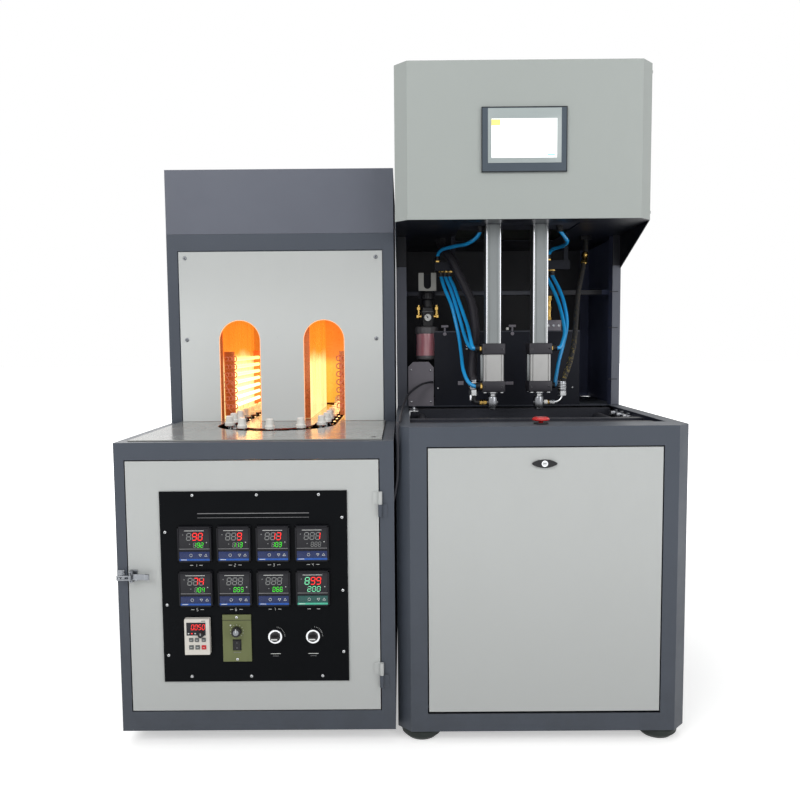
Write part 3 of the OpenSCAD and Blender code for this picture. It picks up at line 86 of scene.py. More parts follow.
class Nodes:
    """Short names for making a material's node tree."""

    def __init__(self, name):
        self.mat = bpy.data.materials.new(name)
        self.mat.use_nodes = True
        self.tree = self.mat.node_tree
        self.bsdf = self.tree.nodes["Principled BSDF"]
        self.coord = self.new("TexCoord")

    def new(self, kind):
        return self.tree.nodes.new("ShaderNode" + kind)

    def link(self, a, b):
        self.tree.links.new(a, b)

    def put(self, socket, value):
        if isinstance(value, bpy.types.NodeSocket):
            self.link(value, socket)
        else:
            socket.default_value = value

    def shader(self, name, value):
        self.put(self.bsdf.inputs[name], value)

    def tint(self, factor, colour):
        """Mixes a colour over the base colour."""
        base = self.bsdf.inputs["Base Color"].links[0].from_socket
        self.shader("Base Color", self.mix(factor, base, colour))

    def noise(self, scale, detail=3.0, rough=0.55, stretch=(1, 1, 1), source="Object"):
        mapping = self.new("Mapping")
        mapping.inputs["Scale"].default_value = stretch
        self.link(self.coord.outputs[source], mapping.inputs["Vector"])
        n = self.new("TexNoise")
        n.inputs["Scale"].default_value = scale
        n.inputs["Detail"].default_value = detail
        n.inputs["Roughness"].default_value = rough
        self.link(mapping.outputs[0], n.inputs["Vector"])
        return n.outputs["Fac"]

    def math(self, op, a, b=0.0, clamp=False):
        n = self.new("Math")
        n.operation = op
        n.use_clamp = clamp
        self.put(n.inputs[0], a)
        self.put(n.inputs[1], b)
        return n.outputs[0]

    def times(self, *values):
        out = values[0]
        for value in values[1:]:
            out = self.math("MULTIPLY", out, value)
        return out

    def under(self, a, b):
        return self.math("LESS_THAN", a, b)

    def over(self, a, b):
        return self.math("GREATER_THAN", a, b)

    def span(self, value, a, b, c, d, smooth=False):
        n = self.new("MapRange")
        if smooth:
            n.interpolation_type = "SMOOTHSTEP"
        for i, v in enumerate((value, a, b, c, d)):
            self.put(n.inputs[i], v)
        return n.outputs[0]

    def mix(self, factor, a, b, mode="MIX"):
        n = self.new("Mix")
        n.data_type = "RGBA"
        n.blend_type = mode
        self.put(n.inputs[0], factor)
        self.put(n.inputs[6], a)
        self.put(n.inputs[7], b)
        return n.outputs[2]

    def axis(self, name, source="Object"):
        n = self.new("SeparateXYZ")
        self.link(self.coord.outputs[source], n.inputs[0])
        return n.outputs[name]

    def away(self, name, middle):
        """Distance from a plane across one axis."""
        return self.math("ABSOLUTE", self.math("SUBTRACT", self.axis(name), middle))

    def normal(self, name):
        n = self.new("SeparateXYZ")
        self.link(self.new("NewGeometry").outputs["Normal"], n.inputs[0])
        return n.outputs[name]

    def bump(self, height, strength, distance):
        n = self.new("Bump")
        n.inputs["Strength"].default_value = strength
        n.inputs["Distance"].default_value = distance
        self.link(height, n.inputs["Height"])
        if self.bsdf.inputs["Normal"].is_linked:
            self.link(self.bsdf.inputs["Normal"].links[0].from_socket, n.inputs["Normal"])
        self.shader("Normal", n.outputs[0])

    def edges(self, radius):
        """1 near convex and concave edges, 0 on open faces."""
        bevel = self.new("Bevel")
        bevel.samples = 4
        bevel.inputs["Radius"].default_value = radius
        dot = self.new("VectorMath")
        dot.operation = "DOT_PRODUCT"
        self.link(bevel.outputs[0], dot.inputs[0])
        self.link(self.new("NewGeometry").outputs["Normal"], dot.inputs[1])
        return self.span(dot.outputs["Value"], 0.985, 0.90, 0.0, 1.0)


SLATE = (71, 77, 87)
DUST = rgb(150, 148, 142)
M = {}


def surface(key, colour, rough, metal=0.0, mottle=0.06, patch=4.0, grain=0.15, grain_scale=700.0,
            grain_depth=0.0002, wear=0.0, worn=None, dust=0.0, coat=0.0, brush=(1, 1, 1), spread=0.08,
            shine=0.3, source="Object"):
    """A finish with patchy colour, uneven roughness, fine grain, and worn or dusty places."""
    n = Nodes(key)
    M[key] = n.mat
    colour = rgb(*colour)
    large = n.noise(patch, 4.0, 0.6, source=source)
    base = n.mix(n.span(large, 0.3, 0.7, 0, 1), shade(colour, 1 - mottle), shade(colour, 1 + mottle))
    fine = n.noise(grain_scale, 2.0, 0.6, brush, source)
    n.shader("Base Color", n.mix(n.span(fine, 0.35, 0.75, 0, mottle * 1.5), base, shade(colour, 1.35)))
    gloss = n.span(n.noise(patch * 5, 5.0, 0.65, source=source), 0.25, 0.75, rough - spread, rough + spread)
    if dust:
        up = n.times(n.span(n.normal("Z"), 0.4, 1.0, 0, dust), n.noise(35, 5.0, 0.7))
        n.tint(up, DUST)
        gloss = n.math("ADD", gloss, n.times(up, 0.4), True)
    if wear:
        spots = n.span(n.noise(60, 4.0, 0.7), 0.45, 0.62, 0, wear)
        bare = rgb(*worn) if worn else shade(colour, 2.2)
        n.tint(n.math("MULTIPLY", n.edges(0.0016), spots, True), bare)
    n.shader("Roughness", gloss)
    n.shader("Metallic", metal)
    n.shader("Coat Weight", coat)
    n.shader("Coat Roughness", 0.12)
    n.shader("Specular IOR Level", 0.5 if metal else shine)
    if grain:
        n.bump(fine, grain, grain_depth)
    return n


def lit(key, colour, strength, base=None, rough=0.4):
    """A surface that gives its own light, a little uneven."""
    n = Nodes(key)
    M[key] = n.mat
    colour = rgb(*colour)
    base = rgb(*base) if base else colour
    uneven = n.span(n.noise(300, 2.0), 0.3, 0.7, 0.85, 1.0)
    n.shader("Base Color", n.mix(uneven, shade(base, 0.8), base))
    n.shader("Roughness", rough)
    n.shader("Emission Color", n.mix(uneven, shade(colour, 0.75), colour))
    n.shader("Emission Strength", strength)
    return n


def column_painted_light_and_shade(n):
    """Painted light and shade on the column: dark navy painted shade inside it and on its front faces,
    lighter blue-grey painted light on the inner side walls, and paler slate painted light on the front of the
    posts below the gusset.
    """
    front = n.under(n.away("Y", COLUMN), 0.0006)
    inner = n.times(n.under(n.away("X", BX), 0.316), n.under(n.axis("Y"), COLUMN_BACK - 0.0015))
    side = n.times(n.over(n.away("X", BX), 0.286), n.over(n.axis("Y"), COLUMN + 0.002))
    # Painted shade: near-black navy inside and on the front faces; painted light: blue-grey on the inner side
    # walls
    n.tint(n.math("MAXIMUM", inner, front), n.mix(side, rgb(12, 14, 23), rgb(74, 80, 106)))
    # Painted light: paler slate on the post fronts below the gusset, which shades them higher up
    n.tint(n.times(front, n.under(n.axis("Z"), 1.094)), rgb(98, 101, 111))


def pit_painted_shade(n):
    """Painted shade: dark navy on the walls of the pit."""
    inner = n.times(n.under(n.away("X", BX), 0.2866), n.under(n.axis("Z"), RIM - 0.0006))
    n.tint(n.times(inner, n.over(n.axis("Y"), FRONT + 0.010)), rgb(27, 30, 42))


def head_painted_shade(n):
    """Painted shade: dark navy underneath and inside the head."""
    inner = n.times(n.under(n.away("X", BX), 0.245), n.over(n.axis("Y"), HEAD + 0.002),
                    n.under(n.axis("Y"), COLUMN_BACK - 0.003), n.under(n.axis("Z"), HEAD_Z + 0.378))
    n.tint(n.math("MAXIMUM", inner, n.under(n.axis("Z"), HEAD_Z + 0.0008)), rgb(22, 25, 35))


def slot_painted_glow(n):
    """Painted light: dark red-brown in the slot, where the glow of the oven falls."""
    inner = n.times(n.under(n.away("X", HX), 0.26), n.over(n.axis("Y"), FRONT + 0.04))
    n.tint(n.times(inner, n.under(n.axis("Z"), TABLE - 0.0006)), rgb(150, 48, 26))


def slate_paint(key, colour=SLATE, inside=None):
    """Textured powder coat of both cabinets, with dust on faces that look up, and darker in patches towards
    the floor.
    """
    n = surface(key, colour, 0.46, mottle=0.07, patch=2.2, grain=0.35, grain_scale=900,
                grain_depth=0.00025, wear=0.5, worn=(125, 128, 132), dust=0.2)
    low = n.span(n.axis("Z"), 0.05, 0.62, 0.44, 0.0, True)
    n.tint(n.times(low, n.span(n.noise(14, 5.0, 0.7), 0.3, 0.7, 0.4, 1)), rgb(48, 50, 54))
    if inside:
        inside(n)


def pale_paint(key, colour, rough=0.36, low_painted_light=0.86, low_z=0.05, high_z=0.65, inside=None):
    """Pale panels with faint hand marks and a slow change from top to bottom, which is painted light on the
    oven panel, lighter low down, and darker low down on the doors.
    """
    n = surface(key, colour, rough, mottle=0.018, patch=1.6, grain=0.12, grain_scale=1100,
                grain_depth=0.00012, wear=0.35, worn=(150, 152, 152), dust=0.05, coat=0.12)
    n.tint(n.span(n.noise(3.0, 6.0, 0.75, (1, 1, 0.35)), 0.50, 0.72, 0.0, 0.16), shade(rgb(*colour), 0.80))
    # A factor above 1 is painted light low down, as on the oven panel; below 1 it is darker towards the
    # floor, as on the doors
    n.tint(n.span(n.axis("Z"), low_z, high_z, 1.0, 0.0, True), shade(rgb(*colour), low_painted_light))
    if inside:
        inside(n)


slate_paint("slate")
# Lighter copy of the slate for the oven cap: painted light, where light falls from above
slate_paint("slate_cap_painted_light", (98, 102, 113))
# Column: painted light and shade inside and on the post fronts
slate_paint("slate_column", SLATE, column_painted_light_and_shade)
# Blower cabinet: painted shade on the walls of the pit
slate_paint("slate_blower", SLATE, pit_painted_shade)
pale_paint("pale", (191, 194, 193))
# Head: painted shade underneath and inside
pale_paint("head", (170, 176, 173), 0.40, inside=head_painted_shade)
# Table: painted glow of the oven in the slot
pale_paint("table", (146, 147, 144), 0.16, 1.0, inside=slot_painted_glow)
# Oven panel: painted light, lighter towards its bottom
pale_paint("oven_panel", (192, 195, 194), 0.34, 1.22, 0.90, 1.13)

# Plates, plastics and prints
surface("guard", (31, 33, 41), 0.40, mottle=0.12, patch=6, grain=0.25, wear=0.5, worn=(92, 94, 98), dust=0.1,
        shine=0.12)
surface("grey_plate", (134, 130, 138), 0.45, mottle=0.08, patch=7, grain=0.2, wear=0.3)
surface("black_panel", (9, 11, 14), 0.34, mottle=0.18, patch=3, grain=0.10, grain_scale=1500,
        grain_depth=0.00006, shine=0.05)
surface("case", (34, 34, 38), 0.38, mottle=0.08, grain=0.25, grain_scale=1600, grain_depth=0.0001, shine=0.12)
surface("window", (46, 46, 50), 0.14, grain=0.0, spread=0.03, shine=0.12)
surface("ghost", (140, 142, 142), 0.30, mottle=0.05, grain=0.0, spread=0.03)
surface("line_grey", (128, 128, 130), 0.40, mottle=0.05, grain=0.1)
surface("strip_blue", (30, 44, 88), 0.28, mottle=0.12, patch=30, grain=0.1)
surface("bar_blue", (33, 84, 168), 0.28, mottle=0.1, patch=30, grain=0.1)
surface("strip_teal", (38, 82, 78), 0.28, mottle=0.12, patch=30, grain=0.1)
surface("bar_teal", (80, 186, 156), 0.28, mottle=0.1, patch=30, grain=0.1)
surface("print", (214, 216, 214), 0.45, patch=90)
surface("keypad", (216, 212, 204), 0.34, mottle=0.03, grain=0.25, grain_scale=1500, grain_depth=0.0001)
surface("key_grey", (92, 96, 96), 0.42, mottle=0.08, patch=60, grain=0.2)
surface("key_red", (196, 40, 44), 0.38, patch=60, grain=0.2)
surface("olive", (104, 110, 72), 0.50, mottle=0.08, patch=14, grain=0.35, grain_scale=1200, wear=0.4,
        worn=(150, 152, 120))
surface("black", (26, 26, 29), 0.40, mottle=0.10, patch=12, grain=0.25, grain_scale=1400, grain_depth=0.00012,
        dust=0.1)
surface("device", (186, 187, 182), 0.42, patch=20, grain=0.2, dust=0.2)
surface("red", (206, 26, 26), 0.26, mottle=0.07, patch=40, grain=0.08, coat=0.4, dust=0.1)
surface("foot", (34, 40, 38), 0.62, mottle=0.15, patch=25, grain=0.5, grain_scale=500, grain_depth=0.0003,
        dust=0.5)
surface("blue", (34, 160, 228), 0.20, mottle=0.08, patch=14, grain=0.05, coat=0.3, dust=0.05)
surface("hose", (40, 40, 46), 0.50, mottle=0.12, patch=16, grain=0.3, grain_scale=600, dust=0.15)
surface("ceramic", (216, 168, 134), 0.55, mottle=0.14, patch=40, grain=0.4, grain_scale=600)
surface("tip", (236, 234, 228), 0.32, mottle=0.05, patch=60, coat=0.1)
surface("bezel", (74, 84, 94), 0.40, mottle=0.05, patch=10, grain=0.3, grain_scale=1500, grain_depth=0.0001)
surface("bezel_dark", (20, 24, 28), 0.36, mottle=0.08, patch=10, grain=0.2)
surface("screen_frame", (168, 178, 178), 0.18, mottle=0.03, grain=0.0, coat=0.4, spread=0.03)
surface("gauge_face", (232, 232, 228), 0.3, mottle=0.04, patch=80, grain=0.05, coat=0.5)
surface("seal_black", (14, 14, 16), 0.6, mottle=0.1, grain=0.3)
surface("bowl_cap", (112, 110, 112), 0.45, mottle=0.10, patch=20, grain=0.3, dust=0.2)
surface("grey_dark", (58, 61, 70), 0.45, mottle=0.08, patch=12, grain=0.2, wear=0.5)

# Metals and enamels
surface("cap_black", (44, 43, 49), 0.42, 0.35, 0.10, 18, 0.2, wear=0.7, worn=(140, 140, 144), dust=0.15)
surface("chrome", (226, 228, 231), 0.10, 1.0, 0.04, 25, 0.05, 1800, 0.00005, spread=0.05)
surface("dull_chrome", (132, 134, 138), 0.20, 1.0, 0.12, 60, 0.1)
surface("latch", (128, 131, 136), 0.34, 1.0, 0.10, 60, 0.2, 500, wear=0.5, worn=(196, 198, 200))
surface("steel", (176, 178, 182), 0.30, 1.0, 0.08, 20, 0.15, 420, brush=(1, 1, 9), dust=0.1)
surface("zinc", (196, 198, 200), 0.26, 1.0, 0.10, 120, 0.1)
surface("brass", (206, 170, 96), 0.24, 1.0, 0.10, 60, 0.1)
surface("chain", (92, 56, 46), 0.36, 0.7, 0.16, 60, 0.3, wear=0.4)
surface("cast", (40, 42, 50), 0.48, 0.0, 0.12, 9, 0.5, 260, 0.0004, wear=0.7, worn=(112, 112, 114), dust=0.15)
surface("mould", (196, 198, 200), 0.28, 1.0, 0.05, 12, 0.2, 160, 0.00008, brush=(12, 1, 1))
surface("drive", (62, 84, 112), 0.38, 0.0, 0.10, 10, 0.3, wear=0.6, worn=(140, 144, 150), dust=0.3)
surface("aluminium_light", (172, 172, 171), 0.46, 0.55, 0.05, 14, 0.15, 900, wear=0.3)
surface("bracket_grey", (134, 134, 130), 0.45, 0.4, 0.08, 20, 0.2)

# Displays, and the painted glow of the lamps' light on their wires and the arch rims
lit("red_digit", (255, 40, 36), 0.9)
lit("green_digit", (70, 235, 50), 0.55)
lit("mint_digit", (120, 225, 170), 0.5)
# Painted glow: the lamps' light on their wires
lit("wire_painted_glow", (226, 126, 84), 0.30, (206, 128, 96), 0.45)
# Painted glow: the lamps' light on the rims of the arches
lit("arch_rim_painted_glow", (255, 176, 110), 0.75, (240, 190, 150), 0.4)
for key, colour, strength in (("screen", (250, 253, 252), 0.62), ("screen_yellow", (244, 236, 130), 0.45),
                              ("screen_pink", (246, 140, 158), 0.45), ("screen_cyan", (150, 226, 214), 0.45),
                              ("screen_grey", (206, 212, 222), 0.42)):
    lit(key, colour, strength, rough=0.12).shader("Coat Weight", 0.5)


def aluminium():
    """Extruded tube with fine lengthwise lines."""
    n = surface("aluminium", (122, 126, 127), 0.40, 1.0, 0.04, 10, 0.0)
    lines = n.noise(900, 2.0, 0.5, (1, 1, 0.01))
    n.shader("Roughness", n.span(lines, 0.3, 0.7, 0.32, 0.50))
    n.bump(lines, 0.25, 0.0001)


def bowl():
    """Bowl of the filter: tinted, with painted highlights in long upright streaks."""
    n = surface("bowl", (206, 132, 142), 0.14, mottle=0.10, patch=18, grain=0.0, coat=0.5)
    # Painted highlights: pale upright streaks
    n.tint(n.span(n.noise(70, 3.0, 0.6, (1, 1, 0.05)), 0.40, 0.66, 0.0, 0.55), rgb(236, 192, 196))
    n.shader("Subsurface Weight", 0.15)
    n.shader("Subsurface Radius", (0.02, 0.006, 0.006))


def braid():
    """Yellow flecks woven into the black cover of the right hose."""
    n = surface("braid", (32, 32, 34), 0.55, mottle=0.1, patch=30, grain=0.0, source="UV")
    along, round_it = n.times(n.axis("X", "UV"), 330), n.times(n.axis("Y", "UV"), 200)
    waves = [n.math("SINE", n.times(n.math(op, along, round_it), 2 * pi)) for op in ("ADD", "SUBTRACT")]
    weave = n.times(*waves)
    fleck = n.times(n.span(weave, 0.2, 0.5, 0, 1), n.span(n.noise(150, 2.0), 0.52, 0.58, 0, 1))
    n.tint(n.times(fleck, n.span(n.axis("Z"), 0.86, 0.90, 1.0, 0.12, True)), rgb(206, 180, 96))
    n.bump(weave, 0.8, 0.0006)


def spiral():
    """Spiral-wound cover of the left hose."""
    n = surface("spiral", (46, 44, 50), 0.46, mottle=0.12, patch=20, grain=0.0, dust=0.15)
    turns = n.math("ADD", n.times(n.axis("X", "UV"), 240), n.times(n.axis("Y", "UV"), 16))
    n.bump(n.math("SINE", n.times(turns, 2 * pi)), 0.6, 0.0007)


def glow(key, low, high, top, strength, z0=0.86, z1=0.90):
    """Painted lamp light on a sheet inside the oven: white-yellow low down and orange above."""
    n = surface(key, (196, 118, 66), 0.28, 0.3, 0.08, 8, 0.1, 180, brush=(1, 1, 0.05))
    z = n.math("ADD", n.axis("Z"), n.span(n.noise(9, 3.0, 0.6), 0.3, 0.7, -0.012, 0.012))
    warm = n.mix(n.span(z, z0, z1, 0, 1, True), rgb(*low), rgb(*high))
    warm = n.mix(n.span(z, 0.92, 1.02, 0, 1, True), warm, rgb(*top))
    streaks = n.span(n.noise(26, 3.0, 0.6, (1, 1, 0.06)), 0.3, 0.7, 0.72, 1.1)
    level = n.mix(streaks, (0, 0, 0, 1), (1, 1, 1, 1))
    n.shader("Emission Color", n.mix(1.0, warm, level, "MULTIPLY"))
    n.shader("Emission Strength", strength)


def lamp():
    """Clear tube round a filament that is nearly white."""
    n = lit("lamp", (255, 214, 130), 3.2, rough=0.12)
    height = n.span(n.axis("Z"), 0.70, 0.86, 0, 1)
    n.shader("Emission Color", n.mix(height, rgb(255, 232, 168), rgb(255, 190, 90)))


aluminium()
bowl()
braid()
spiral()
# The oven's reflectors, walls and back carry painted lamp light
glow("reflector", (255, 238, 165), (240, 128, 36), (214, 92, 24), 1.0, 0.815, 0.865)
glow("oven_wall", (150, 62, 24), (190, 84, 30), (200, 92, 34), 0.5)
glow("oven_back", (255, 196, 70), (246, 132, 40), (232, 104, 34), 0.85, 0.80, 0.84)
lamp()

# Shapes


def circle(x, z, r, angles):
    return [(x + r * cos(radians(a)), z + r * sin(radians(a))) for a in angles]


class Kit:
    """Collects many shapes, each with its own material, into one piece.

    Its origin is in metres. All sizes and points of the shapes are in millimetres from there."""

    def __init__(self, x=0, y=0, z=0):
        self.bm = bmesh.new()
        self.uv = self.bm.loops.layers.uv.new("UVMap")
        self.keys = []
        self.move(x, y, z)

    def move(self, x, y, z):
        self.origin = Vector((x, y, z))

    def place(self, point):
        return self.origin + Vector(point) / 1000

    def take(self, part, key):
        if key not in self.keys:
            self.keys.append(key)
        for f in part.faces:
            f.material_index = self.keys.index(key)
        data = bpy.data.meshes.new("part")
        part.to_mesh(data)
        part.free()
        self.bm.from_mesh(data)
        bpy.data.meshes.remove(data)

    def box(self, lo, hi, key, r=0.0, n=2):
        part = bmesh.new()
        bmesh.ops.create_cube(part, size=1)
        size = [b - a for a, b in zip(lo, hi)]
        for v in part.verts:
            v.co = self.place([a + s * (c + 0.5) for a, s, c in zip(lo, size, v.co)])
        if r:
            bmesh.ops.bevel(part, geom=part.edges[:], offset=min(r, min(size) * 0.45) / 1000, segments=n,
                            profile=0.5, affect="EDGES", clamp_overlap=True)
        self.take(part, key)

    def lathe(self, at, axis, profile, key, n=32, wave=(1, 1, -1, -1), caps=()):
        """Turns (radius, height) points round an axis through at.

        A third number is the depth of ribs, which follow the wave. Caps close the first or last ring."""
        turn = Vector(UP).rotation_difference(Vector(axis).normalized()).to_matrix()
        base = self.place(at)
        part = bmesh.new()
        rings = []
        for radius, height, *rib in profile:
            steps = range(n if radius else 1)
            reach = [radius + (rib[0] * wave[i % 4] if rib else 0) for i in steps]
            angles = [2 * pi * i / n for i in steps]
            rings.append([part.verts.new(base + turn @ Vector((r * cos(a), r * sin(a), height)) / 1000)
                          for r, a in zip(reach, angles)])
        for a, b in zip(rings, rings[1:]):
            for i in range(n):
                j = (i + 1) % n
                if len(a) == 1 and len(b) > 1:
                    part.faces.new((a[0], b[i], b[j]))
                elif len(b) == 1 and len(a) > 1:
                    part.faces.new((a[i], b[0], a[j]))
                elif len(a) > 1:
                    part.faces.new((a[i], b[i], b[j], a[j]))
        for end in caps:
            part.faces.new(rings[end])
        self.take(part, key)

    def rod(self, a, b, d, key, r=0.4, n=28):
        """Round bar from point a to point b with chamfered ends."""
        a, b = Vector(a), Vector(b)
        length = (b - a).length
        r = min(r, d * 0.2, length * 0.4)
        self.lathe(a, b - a, [(0, 0), (d / 2 - r, 0), (d / 2, r), (d / 2, length - r), (d / 2 - r, length),
                              (0, length)], key, n)

    def hexagon(self, a, b, across, key):
        self.rod(a, b, across * 1.1547, key, 0.6, 6)

    def pull(self, near, far, key):
        """Closes the space between two equal outlines."""
        part = bmesh.new()
        near = [part.verts.new(self.place(p)) for p in near]
        far = [part.verts.new(self.place(p)) for p in far]
        part.faces.new(near)
        part.faces.new(far[::-1])
        for i in range(len(near)):
            j = (i + 1) % len(near)
            part.faces.new((near[j], near[i], far[i], far[j]))
        self.take(part, key)

    def prism(self, outline, y0, y1, key):
        """Outline of (x, z) points, from y0 to y1."""
        self.pull([(x, y0, z) for x, z in outline], [(x, y1, z) for x, z in outline], key)

    def column(self, outline, z0, z1, key):
        """Outline of (x, y) points, from z0 to z1."""
        self.pull([(x, y, z0) for x, y in outline], [(x, y, z1) for x, y in outline], key)

    def ring(self, x, z, y0, y1, outer, inner, key, n=40, r=0.4):
        """Flat ring facing the front."""
        deep = y1 - y0
        self.lathe((x, y1, z), FORWARD, [(inner, 0), (outer, 0), (outer, deep - r), (outer - r, deep),
                                         (inner + r, deep), (inner, deep - r), (inner, 0)], key, n)

    def loop(self, outline, width, y0, y1, key):
        """Closed line of a given width along (x, z) points, facing the front."""
        for a, b in zip(outline, outline[1:] + outline[:1]):
            a, b = Vector(a), Vector(b)
            along = (b - a).normalized()
            side = Vector((-along.y, along.x)) * width / 2
            a, b = a - along * width / 2, b + along * width / 2
            self.prism([tuple(p) for p in (a - side, b - side, b + side, a + side)], y0, y1, key)

    def frame(self, z, w, h, width, y0, y1, key):
        """Upright rectangle of lines round (0, z)."""
        corners = [(-w / 2, z - h / 2), (w / 2, z - h / 2), (w / 2, z + h / 2), (-w / 2, z + h / 2)]
        self.loop(corners, width, y0, y1, key)

    def ticks(self, x, z, angles, inner, outer, half, y0, y1, key):
        """Short marks round (x, z) at angles in degrees; half is half their width in radians."""
        for angle in angles:
            a = radians(angle)
            corners = ((inner, -half), (outer, -half), (outer, half), (inner, half))
            self.prism([(x + r * cos(a + s), z + r * sin(a + s)) for r, s in corners], y0, y1, key)

    def tube(self, points, d, key, sides=14):
        """Tube along points, with a texture map of the distance along it and round it."""
        pts = [self.place(p) for p in points]
        d /= 1000
        last = len(pts) - 1
        ahead = [(pts[min(i + 1, last)] - pts[max(i - 1, 0)]).normalized() for i in range(last + 1)]
        up = ahead[0].orthogonal().normalized()
        part = bmesh.new()
        uv = part.loops.layers.uv.new("UVMap")
        rings, run = [], [0.0]
        for i, p in enumerate(pts):
            if i:
                up = (ahead[i - 1].rotation_difference(ahead[i]) @ up).normalized()
                run.append(run[-1] + (p - pts[i - 1]).length)
            side = ahead[i].cross(up)
            turns = [2 * pi * j / sides for j in range(sides)]
            rings.append([part.verts.new(p + d / 2 * (cos(a) * up + sin(a) * side)) for a in turns])
        for i in range(last):
            for j in range(sides):
                k = (j + 1) % sides
                f = part.faces.new((rings[i][j], rings[i][k], rings[i + 1][k], rings[i + 1][j]))
                for loop, a, s in zip(f.loops, (i, i, i + 1, i + 1), (j, j + 1, j + 1, j)):
                    loop[uv].uv = (run[a], s / sides * pi * d)
        part.faces.new(rings[0][::-1])
        part.faces.new(rings[-1])
        self.take(part, key)

    def screw(self, x, y, z, d, proud, key="zinc"):
        """Round-headed cross screw facing the front, with its seat at y."""
        r = d / 2
        self.lathe((x, y, z), FORWARD, [(0, 0), (r, 0), (r, proud * 0.35), (r * 0.85, proud * 0.75),
                                        (r * 0.5, proud), (0, proud)], key, 24)
        for w, h in ((r * 0.55, r * 0.11), (r * 0.11, r * 0.55)):
            self.box((x - w, y - proud - 0.05, z - h), (x + w, y - proud * 0.7, z + h), "seal_black")

    def done(self, name, body, stands_for=(), sharp=38):
        bmesh.ops.recalc_face_normals(self.bm, faces=self.bm.faces[:])
        data = bpy.data.meshes.new(name)
        self.bm.to_mesh(data)
        self.bm.free()
        for key in self.keys:
            data.materials.append(M[key])
        data.shade_smooth()
        data.set_sharp_from_angle(angle=radians(sharp))
        piece = bpy.data.objects.new(name, data)
        bpy.context.scene.collection.objects.link(piece)
        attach(piece, body)
        if stands_for:
            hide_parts(*stands_for)
        return piece


# Camera at the photograph's place

CAMERA_AT = (-0.0007, -2.1226, 0.875)
CAMERA_TILT, CAMERA_SWING, CAMERA_ROLL = radians(4.24), radians(0.17), radians(0.46)


def turned(x, y, z):
    """Direction seen by a level camera, swung and tilted as the photograph's."""
    c, s = cos(CAMERA_TILT), sin(CAMERA_TILT)
    y, z = y * c + z * s, -y * s + z * c
    c, s = cos(CAMERA_SWING), sin(CAMERA_SWING)
    return Vector((x * c - y * s, x * s + y * c, z))


def photo_camera():
    right = turned(cos(CAMERA_ROLL), 0, -sin(CAMERA_ROLL))
    up = turned(sin(CAMERA_ROLL), 0, cos(CAMERA_ROLL))
    data = bpy.data.cameras.new("photo_camera")
    data.sensor_width = 36
    data.lens = 33.39
    data.clip_start, data.clip_end = 0.05, 60
    cam = bpy.data.objects.new("photo_camera", data)
    turn = Matrix((right, up, -turned(0, 1, 0))).transposed().to_4x4()
    cam.matrix_world = Matrix.Translation(CAMERA_AT) @ turn
    bpy.context.scene.collection.objects.link(cam)
    bpy.context.scene.camera = cam


photo_camera()

# Tubes and hoses, along the same points as the CAD routes, in millimetres from ROUTES

ROUTES = (BX, FRONT, RIM)
TUBES = [
    [[-95, 395, 482.4], [-95, 395, 472], [-104, 412, 456], [-126, 440, 444], [-156, 490, 444],
     [-190, 540, 440], [-200, 563, 424], [-200, 563, 408.6]],
    [[-190, 563, 383.4], [-189, 560, 366], [-180, 540, 330], [-164, 514, 286], [-154, 494, 240],
     [-146, 474, 196], [-142, 444, 150], [-140, 404, 108], [-130, 374, 78], [-114, 362, 66],
     [-94.6, 362, 66]],
    [[-178, 563, 383.4], [-177, 560, 366], [-164, 536, 330], [-152, 512, 286], [-142, 490, 246],
     [-134, 466, 210], [-128, 434, 182], [-120, 408, 167], [-112, 398, 164], [-94.6, 398, 164]],
    [[-166, 563, 383.4], [-165, 560, 366], [-152, 532, 330], [-141, 508, 290], [-130, 478, 250],
     [-124, 444, 222], [-121, 406, 192], [-118, 384, 170], [-110, 378, 164], [-94.6, 378, 164]],
    [[112, 395, 482.4], [112, 395, 472], [128, 414, 458], [143, 444, 448], [140, 486, 442],
     [120, 526, 438], [112, 541, 424], [112, 541, 408.6]],
    [[104, 541, 383.4], [105, 540, 366], [120, 522, 330], [133, 500, 286], [139, 472, 240],
     [137, 442, 204], [124, 408, 178], [116, 392, 167], [107, 386, 164], [88.6, 386, 164]],
    [[122, 541, 383.4], [123, 540, 366], [138, 524, 330], [149, 504, 286], [152, 480, 230],
     [138, 458, 176], [122, 440, 130], [110, 420, 84], [105, 412, 64], [88.6, 412, 64]],
]
HOSES = [
    [[-190, 600, 479.4], [-190, 600, 475], [-190, 600, 469], [-186, 590, 455], [-174, 564, 436],
     [-158, 534, 408], [-142, 520, 370], [-124, 508, 330], [-108, 492, 286], [-102, 470, 230],
     [-104, 450, 176], [-112, 436, 128], [-116, 412, 94], [-114, 392, 78], [-114, 390, 62.8]],
    [[222, 566, 479.4], [222, 566, 475], [222, 566, 467], [220, 558, 440], [208, 540, 384],
     [190, 512, 320], [178, 484, 250], [166, 454, 180], [148, 424, 126], [128, 396, 88], [120, 390, 70],
     [120, 390, 54.8]],
]
LINK = [
    [-217, 549.4, 69], [-217, 544, 69], [-224, 534, 69], [-244, 521, 65], [-266, 504, 54], [-284, 472, 40],
    [-296, 416, 24], [-303, 330, 11], [-306, 200, 7], [-308, 62, 7], [-311, 34, 7], [-313, 18, 2],
    [-313.5, 12, -22], [-313.5, 11, -70], [-316, 12, -120], [-330, 14, -190],
]


def smooth(route, steps=8):
    """Points along a curve through the route's points."""
    p = [Vector(q) for q in route]
    last = len(p) - 1
    out = []
    for i in range(last):
        a, b, c, d = p[max(i - 1, 0)], p[i], p[i + 1], p[min(i + 2, last)]
        for j in range(steps):
            s = j / steps
            out.append(0.5 * (2 * b + (c - a) * s + (2 * a - 5 * b + 4 * c - d) * s * s
                              + (3 * b - a - 3 * c + d) * s ** 3))
    return out + [p[last]]


